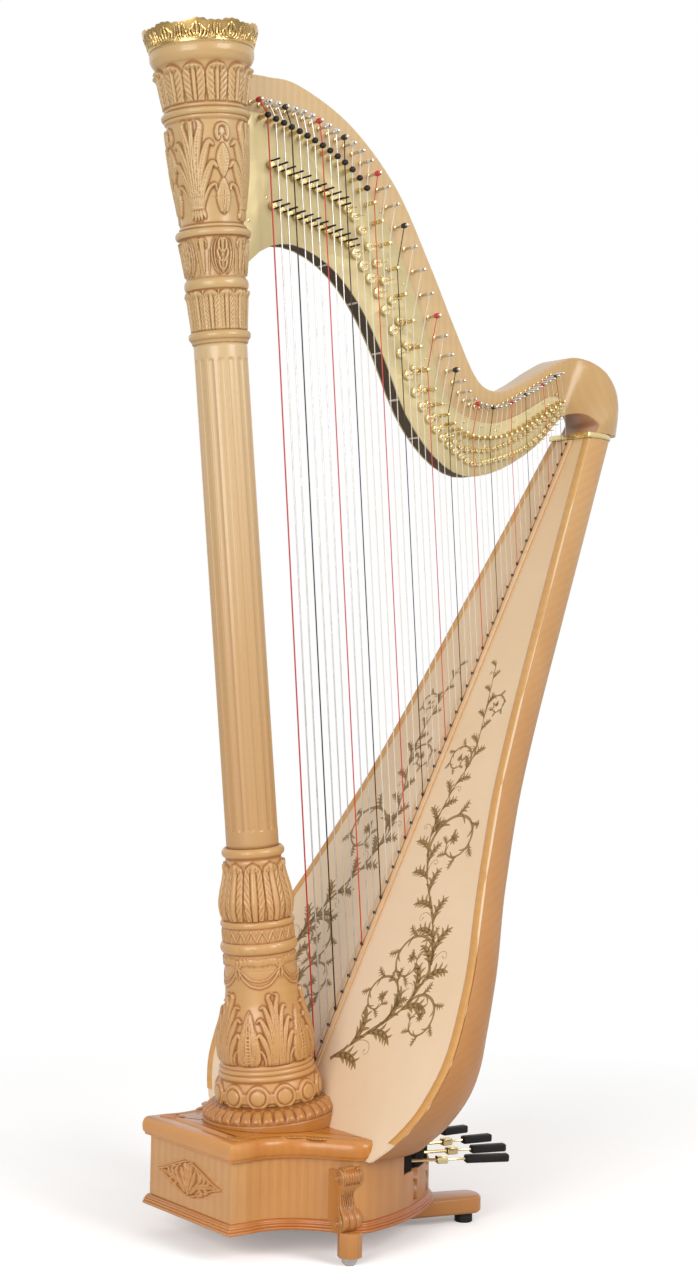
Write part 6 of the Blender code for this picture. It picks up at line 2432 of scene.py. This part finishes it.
@dataclass
class Strings:
    """All the strings, with the pins that tune, stop and hold them."""

    wound_below: int = 11
    heads_below: int = 14
    thickest: float = 0.0012
    thinner_by: float = 0.00085

    def colour_of(self, index: int) -> Finish:
        """Return a string's finish: red for C, black for F, wound in the low bass.

        Args:
            index: The string's number, from 0.

        Returns:
            The finish.
        """
        if index % 7 == 0:
            return RED
        if index % 7 == 3:
            return BLACK
        return WOUND if index < self.wound_below else GUT

    def build(self, neck: Neck) -> None:
        """Build strings, windings, tuning pins and bridge pins.

        Args:
            neck: The finished neck, whose far side the tuning pins come through.
        """
        self.build_strings()
        self.build_tuning_pins(neck)
        self.build_bridge_pins()
        anchor = from_node("strings", "string_anchor", 30)
        self.keep_anchor(anchor)
        place(anchor, INNER, "strings_gut")

    @staticmethod
    def keep_anchor(anchor: bpy.types.Object) -> None:
        """Keep only the anchor bar behind the board of the strings' CAD mesh.

        Args:
            anchor: The piece.
        """
        limit = string_hole(0).z - 0.05
        bm = bmesh.new()
        bm.from_mesh(anchor.data)
        gone = []
        for face in bm.faces:
            centre = face.calc_center_median()
            depth = (centre - board_point(centre.z)).dot(
                Vector((1, 0, -BOARD_SLOPE)).normalized())
            thin = face.calc_area() < 2e-7
            if depth < BOARD_THICK + 0.0005 or centre.z < limit or thin:
                gone.append(face)
        bmesh.ops.delete(bm, geom=gone, context="FACES")
        bmesh.ops.holes_fill(bm, edges=bm.edges, sides=0)
        bmesh.ops.recalc_face_normals(bm, faces=bm.faces)
        bm.to_mesh(anchor.data)
        bm.free()

    @staticmethod
    def tube(points: Sequence[Vector], radius: float, sides: int = 8) -> tuple[list, list]:
        """Return the points and faces of a closed tube through points.

        Args:
            points: Its middle line.
            radius: Its radius.
            sides: Its sides.

        Returns:
            Its points and its faces.
        """
        verts, faces = [], []
        for i, point in enumerate(points):
            way = (points[min(i + 1, len(points) - 1)] - points[max(i - 1, 0)]).normalized()
            side = Vector((0, 1, 0))
            other = way.cross(side).normalized()
            for k in range(sides):
                turn = TAU * k / sides
                verts.append(tuple(point + radius * (side * math.cos(turn)
                                                     + other * math.sin(turn))))
        for i in range(len(points) - 1):
            for k in range(sides):
                a, b = i * sides + k, i * sides + (k + 1) % sides
                faces.append([a, b, b + sides, a + sides])
        faces.append(list(range(sides))[::-1])
        faces.append([(len(points) - 1) * sides + k for k in range(sides)])
        return verts, faces

    def build_strings(self) -> None:
        """Run each string from behind the board over its bridge pin to its tuning pin."""
        sets: dict[str, tuple[Finish, list, list]] = {}
        for i in range(STRINGS):
            radius = self.thickest - self.thinner_by * (i / (STRINGS - 1)) ** 0.7
            hole = string_hole(i)
            back = BOARD_THICK + 0.003
            inside = on_string(i, hole.z - back / math.sin(BOARD_TO_STRING))
            bridge = on_string(i, value_at(BRIDGE_ROW, i))
            pin = tuning_pin(i)
            path = [inside, on_string(i, hole.z + 0.02), bridge - Vector((0, 0, .002)),
                    bridge + Vector((0, 0, .002)), pin]
            verts, faces = self.tube(path, radius)
            finish = self.colour_of(i)
            _, all_verts, all_faces = sets.setdefault(finish.name, (finish, [], []))
            start = len(all_verts)
            all_verts += verts
            all_faces += [[k + start for k in face] for face in faces]
        for name, (finish, verts, faces) in sets.items():
            piece = new_object(f"strings_{name}", verts, faces)
            tidy_normals(piece, 1e-7)
            shade(piece, 60)
            place(piece, finish, "strings_gut")

    def build_tuning_pins(self, neck: Neck) -> None:
        """Set the tuning pins with their wound string and, behind, their square ends.

        Args:
            neck: The finished neck, whose far side the pins come through.
        """
        face = NECK_NEAR_Y
        shank = spun("shank", ((0, -face - .004), (.0025, -face - .004), (.0025, .0086),
                               (.0021, .0098), (.0012, .0101), (0, .0101)), 12)
        collar = spun("collar", ((.0022, -face - .001), (.0042, -face - .001),
                                 (.0046, -face + .0012), (.0042, -face + .0030),
                                 (.0030, -face + .0036), (.0022, -face + .0036),
                                 (.0022, -face - .001)), 12)
        shanks, collars, squares = [], [], []
        windings: dict[str, tuple[Finish, list[Matrix]]] = {}
        for i in range(STRINGS):
            spot = Matrix.Translation(tuning_pin(i)) @ TURN_NEAR
            size = 1.0 - 0.32 * min(1.0, max(0, i - 24) / 8)
            scale = Matrix.Diagonal((size, size, 1, 1))
            shanks.append(spot @ scale)
            collars.append(spot @ scale)
            finish = self.colour_of(i)
            windings.setdefault(finish.name, (finish, []))[1].append(
                spot @ Matrix.Diagonal((size, size, size, 1))
                @ Matrix.Scale(1.0 if i < 12 or i % 7 in (0, 3) else 0.72, 4))
            pin = tuning_pin(i)
            reach = neck.far_side(pin.x, pin.z)
            squares.append(Matrix.Translation((pin.x, reach, pin.z)) @ scale)
        place(copies(shank, shanks, "tuning_pins"), STEEL, "strings_gut")
        place(copies(collar, collars, "tuning_pin_collars"), TRIM, "strings_gut")
        square = block("square", (.0038, .024, .0038), (0, -.001, 0), .0006)
        place(copies(square, squares, "tuning_pin_squares"), STEEL, "strings_gut")
        for name, (finish, places) in windings.items():
            place(copies(self.winding(), places, f"windings_{name}"), finish, "strings_gut")

    @staticmethod
    def winding() -> bpy.types.Object:
        """Make a string's turns round its pin, fuller in the middle.

        Returns:
            The winding, about local Z.
        """
        profile = [(.0022, -.0052)]
        turns = 5
        for k in range(turns):
            middle = -.0052 + .0104 * (k + 0.5) / turns
            bulge = .0046 * math.sqrt(1 - (middle / .0072) ** 2)
            for step, out in ((-.00085, -.0005), (-.0004, .0), (.0004, .0), (.00085, -.0005)):
                profile.append((bulge + out, middle + step))
        profile.append((.0022, .0052))
        return spun("winding", [(0, -.0052), *profile, (0, .0052)], 14)

    def build_bridge_pins(self) -> None:
        """Set black-headed bridge pins in the bass and grooved brass ones above."""
        face = -PLATE_FACE_Y
        stem = spun("stem", ((0, face + FIT), (.0040, face + FIT), (.0044, face + .0012),
                             (.0040, face + .0030), (.0030, face + .0042), (.0028, -.0062),
                             (.0020, -.0040), (0, -.0040)), 14)
        head = spun("head", ((0, -.0046), (.0020, -.0046), (.0036, -.0034), (.0047, -.0008),
                             (.0049, .0016), (.0042, .0040), (.0026, .0056), (0, .0062)), 16)
        groove = spun("groove", (
            (0, face + FIT), (.0036, face + FIT), (.0038, face + .0020),
            (.0030, face + .0030), (.0030, -.0120), (.0034, -.0110), (.0034, -.0085),
            (.0028, -.0078), (.0034, -.0070), (.0034, -.0048), (.0022, -.0030),
            (.0020, .0006), (.0032, .0016), (.0034, .0036), (.0024, .0042), (0, .0044)), 14)
        small = spun("small", ((0, face - .0004), (.0016, face - .0004), (.0018, face + .0012),
                               (.0010, face + .0020), (0, face + .0021)), 10)
        stems, grooves, smalls = [], [], []
        for i in range(STRINGS):
            spot = Matrix.Translation(on_string(i, value_at(BRIDGE_ROW, i)))
            size = 1.0 if i < 22 else 0.82
            scaled = spot @ TURN_NEAR @ Matrix.Diagonal((size, size, 1, 1))
            (stems if i < self.heads_below else grooves).append(scaled)
            if i >= self.heads_below and i % 3 == 0:
                smalls.append(spot @ Matrix.Translation((.012, 0, .021)) @ TURN_NEAR)
        place(copies(stem, stems, "bridge_pin_stems"), TRIM, "strings_gut")
        place(copies(head, stems, "bridge_pin_heads"), EBONY, "strings_gut")
        place(copies(groove, grooves, "bridge_pins_grooved"), TRIM, "strings_gut")
        place(copies(small, smalls, "bridge_pin_screws"), TRIM, "strings_gut")


class DiscRow(Enum):
    """The two rows of discs: each pedal position stops its strings with one of them."""

    NATURAL = "natural"
    SHARP = "sharp"


@dataclass
class Discs:
    """The forked discs, with those of one octave on bodies of their own."""

    back_y: float = PLATE_FACE_Y - FIT
    thick: float = 0.0065
    forks_below: int = 12
    fork_radius: float = 0.0068
    disc_radius: float = 0.008
    spread: float = 0.0042
    size: Row = ((0, .0084), (11, .0086), (12, .0092), (16, .0088), (20, .0080),
                 (23, .0070), (26, .0060), (30, .0054), (46, .0050))

    def build(self) -> None:
        """Build both rows from the second string up."""
        groups: dict[str, list[Matrix]] = {"fork": [], "disc": []}
        for row, table in ((DiscRow.NATURAL, NATURAL_ROW), (DiscRow.SHARP, SHARP_ROW)):
            for i in range(1, STRINGS):
                spot = on_string(i, value_at(table, i))
                radius = value_at(self.size, i) * (0.86 if row is DiscRow.NATURAL else 1.0)
                turn = Matrix.Translation(spot) @ Matrix.Rotation(-STRING_LEAN, 4, "Y")
                step = i - FIRST_MOVING
                if 0 <= step < len(MOVING_NOTES):
                    node = f"{row.value}_disc_{MOVING_NOTES[step]}"
                    self.build_moving(node, turn, radius)
                elif i < self.forks_below - (row is DiscRow.NATURAL):
                    groups["fork"].append(turn)
                else:
                    wide = radius / self.disc_radius
                    groups["disc"].append(turn @ Matrix.Diagonal((wide, 1, wide, 1)))
        for pattern, kind, name, finish in (
                (self.body(self.fork_radius), "fork", "fork_bodies", TRIM),
                (self.fork_bars(), "fork", "fork_bars", EBONY),
                (self.body(self.disc_radius), "disc", "disc_bodies", DISC_GOLD),
                (self.prongs(.0010), "disc", "disc_prongs", DISC_GOLD),
                (self.slots(self.disc_radius), "disc", "disc_slots", EBONY)):
            place(copies(pattern, groups[kind], name), finish, "disc_brass")

    def build_moving(self, node: str, turn: Matrix, radius: float) -> None:
        """Build one disc of the moving octave on its own body.

        Args:
            node: The disc's node and body.
            turn: Its place.
            radius: Its radius.
        """
        parts = [moved(self.body(radius), turn), moved(self.prongs(.0011), turn)]
        disc = joined(f"{node}_gold", parts)
        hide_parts(node)
        place(disc, DISC_GOLD, "disc_brass", node)
        slots = moved(self.slots(radius), turn)
        slots.name = f"{node}_slots"
        place(slots, EBONY, "disc_brass", node)

    def body(self, radius: float) -> bpy.types.Object:
        """Turn a disc with a stepped rim; its face looks at the near side.

        Args:
            radius: Its radius.

        Returns:
            The disc at the origin.
        """
        r, back, front = radius, -self.back_y, -self.back_y + self.thick
        made = spun("disc", ((0, back), (r * .93, back), (r, back + .0008),
                             (r, front - .0012), (r * .95, front - .0004),
                             (r * .86, front - .0001), (r * .80, front - .0006),
                             (r * .74, front), (r * .30, front), (r * .25, front + .0006),
                             (0, front + .0007)), 20)
        return moved(made, TURN_NEAR)

    def prongs(self, radius: float) -> bpy.types.Object:
        """Turn the two prongs between which a string runs.

        Args:
            radius: A prong's radius.

        Returns:
            Both prongs.
        """
        front = -self.back_y + self.thick
        low, high, r = front - .001, .0042, radius
        pattern = spun("prong", ((0, low), (r * 1.5, low), (r * 1.5, front + .0012),
                                 (r, front + .0018), (r, high - .0006), (r * .6, high),
                                 (0, high)), 8)
        sides = [Matrix.Translation((side * self.spread, 0, 0)) @ TURN_NEAR
                 for side in (-1, 1)]
        return copies(pattern, sides, "prongs")

    def fork_bars(self) -> bpy.types.Object:
        """Turn the two long black-sleeved prongs of a bass fork.

        Returns:
            Both bars.
        """
        front = -self.back_y + self.thick
        pattern = spun("bar", ((0, front - .001), (.0016, front - .001), (.0017, front + .001),
                               (.0015, front + .002), (.0015, .0075), (.0011, .0084),
                               (0, .0086)), 8)
        sides = [Matrix.Rotation(-0.35, 4, "Y") @ Matrix.Translation((0, 0, side * .0050))
                 @ TURN_NEAR for side in (-1, 1)]
        return copies(pattern, sides, "bars")

    def slots(self, radius: float) -> bpy.types.Object:
        """Lay dark lines on a disc's face: painted shade for its slots.

        Args:
            radius: The disc's radius.

        Returns:
            Both slot lines.
        """
        front = self.back_y - self.thick
        lines = [block("slot", (radius * .42, .0007, .0007), (side * radius * .40,
                                                              front - .0001, side * .0013))
                 for side in (-1, 1)]
        return joined("slots", lines)


@dataclass
class Pedals:
    """Seven pedals in brass and rubber, and the rods that they lift."""

    order: str = "dcbefga"
    stem_share: float = 0.714

    def build(self) -> None:
        """Build each pedal and its rod."""
        for note in self.order:
            rod = from_node(f"pedal_{note}_rod", f"pedal_{note}_rod_steel", 40)
            place(rod, STEEL, "rod_steel", f"rod_{note}")
            arm = from_node(f"pedal_{note}_arm", f"pedal_{note}_arm_brass", 38, .0007)
            place(arm, TRIM, "pedal_steel", f"pedal_{note}")
            tip = from_node(f"pedal_{note}_tip", f"pedal_{note}_tip_rubber", 38, .0010)
            place(tip, RUBBER, "tip_rubber", f"pedal_{note}_foot")
            self.face_stem(tip)

    def face_stem(self, tip: bpy.types.Object) -> None:
        """Give the tongue and stem of a pedal's end their brass.

        Args:
            tip: The pedal's folding end.
        """
        tip.data.materials.append(TRIM.material())
        points = np.array([tuple(v.co) for v in tip.data.vertices])
        far = np.hypot(points[:, 0] - (PEDAL_FAN_X + HARP_X), points[:, 1])
        start, end = far.min(), far.max()
        rubber_from = end - (end - start - .003) * self.stem_share - .0020
        for face in tip.data.polygons:
            centre = np.mean(far[list(face.vertices)])
            face.material_index = 0 if centre > rubber_from else 1


@dataclass
class Studio:
    """The pale floor, the white surround, soft lights and the camera."""

    camera_at: tuple[float, float, float] = (-2.084, -2.746, 0.845)
    heading: float = math.radians(35.929)
    pitch: float = math.radians(1.2486)
    roll: float = math.radians(1.228)
    lens: float = 60.45
    floor_tone: Colour = (0.84, 0.85, 0.87)
    shadow_reach: float = 0.8
    floor_glow: float = 0.20

    def build(self) -> None:
        """Build floor, surround, lights and camera."""
        self.build_floor()
        self.build_world()
        self.add_light("key_light", (0.7, -3.7, 2.6), 2.0, 84, (0.0, 0.0, 1.0))
        self.add_light("left_light", (-3.6, -1.9, 1.5), 2.2, 84, (0.0, 0.0, 0.8))
        self.add_light("top_light", (0.2, 0.2, 4.2), 3.0, 22, (0.0, 0, 0.6))
        self.add_camera()

    def build_floor(self) -> None:
        """Lay the floor and dress it so that it glows white but keeps the shadow."""
        floor = primitive("plane", size=60)
        floor.name = "studio_floor"
        made = bpy.data.materials.new("studio_floor")
        made.use_nodes = True
        tree = made.node_tree
        tree.nodes.clear()
        vector = object_vector(tree)
        cloud = noise(tree, vector, 1.4, (1, 1, 1), 2.0)
        tone = blend_colour(tree, cloud * 0.5, rgba(self.floor_tone), (0.88, 0.88, 0.89, 1.0))
        away = add(tree, "VectorMath", {0: vector}, operation="LENGTH").outputs["Value"]
        share = (Value(tree, away) - self.shadow_reach).maths("DIVIDE", 0.9, clamp=True)
        ray = Value(tree, add(tree, "LightPath").outputs["Is Camera Ray"])
        share *= ray
        diffuse = add(tree, "BsdfDiffuse", {"Color": tone, "Roughness": 0.6})
        glow = add(tree, "Emission", {"Color": (1.0, 1.0, 1.0, 1.0),
                                      "Strength": ray * self.floor_glow})
        near = add(tree, "AddShader", {0: diffuse.outputs[0], 1: glow.outputs[0]})
        far = add(tree, "Emission", {"Color": (1.0, 1.0, 1.0, 1.0), "Strength": 1.0})
        both = add(tree, "MixShader", {0: share, 1: near.outputs[0], 2: far.outputs[0]})
        add(tree, "OutputMaterial", {"Surface": both.outputs[0]})
        floor.data.materials.append(made)

    def build_world(self) -> None:
        """Surround the harp with white that only rays to the eye see at full strength."""
        world = bpy.data.worlds.new("studio")
        bpy.context.scene.world = world
        world.use_nodes = True
        tree = world.node_tree
        tree.nodes.clear()
        ray = add(tree, "LightPath")
        camera, through, glossy = (Value(tree, ray.outputs[f"Is {kind} Ray"])
                                   for kind in ("Camera", "Transmission", "Glossy"))
        seen = camera.maths("MAXIMUM", through.maths("MAXIMUM", glossy))
        soft = add(tree, "Background", {"Color": (1.0, 0.985, 0.96, 1), "Strength": 0.50})
        white = add(tree, "Background", {"Color": (1, 1, 1, 1), "Strength": 1.0})
        mix = add(tree, "MixShader", {0: seen, 1: soft.outputs[0], 2: white.outputs[0]})
        add(tree, "OutputWorld", {"Surface": mix.outputs[0]})

    def add_light(self, name: str, spot: Sequence[float], size: float, power: float,
                  aim: Sequence[float]) -> None:
        """Hang one soft area light that looks at a point.

        Args:
            name: The light's name.
            spot: Where it hangs.
            size: Its width.
            power: Its power in watts.
            aim: The point that it looks at.
        """
        lamp = bpy.data.lights.new(name, "AREA")
        lamp.size, lamp.energy = size, power
        lamp.color = (1.0, 0.975, 0.94)
        made = bpy.data.objects.new(name, lamp)
        bpy.context.scene.collection.objects.link(made)
        made.location = spot
        made.rotation_euler = (Vector(aim) - Vector(spot)).to_track_quat(
            "-Z", "Y").to_euler()

    def add_camera(self) -> None:
        """Place the camera where the photograph was taken from."""
        p, h = self.pitch, self.heading
        forward = Vector((math.sin(h) * math.cos(p), math.cos(h) * math.cos(p), math.sin(p)))
        right = Vector((math.cos(h), -math.sin(h), 0))
        up = right.cross(forward)
        right, up = (right * math.cos(self.roll) + up * math.sin(self.roll),
                     up * math.cos(self.roll) - right * math.sin(self.roll))
        turn = Matrix((right, up, -forward)).transposed().to_4x4()
        eye = bpy.data.cameras.new("photo_camera")
        eye.lens, eye.sensor_width, eye.sensor_fit = self.lens, 36, "AUTO"
        made = bpy.data.objects.new("photo_camera", eye)
        bpy.context.scene.collection.objects.link(made)
        made.matrix_world = Matrix.Translation(self.camera_at) @ turn
        bpy.context.scene.camera = made


def main() -> None:
    """Build the harp and its studio."""
    logging.basicConfig(level=logging.INFO, format="%(name)s %(message)s")
    bpy.context.scene.view_settings.view_transform = "Standard"
    Base().build()
    Column().build()
    Soundbox().build()
    neck = Neck()
    neck.build()
    Strings().build(neck)
    Discs().build()
    Pedals().build()
    Studio().build()


if __name__ == "__main__":
    main()
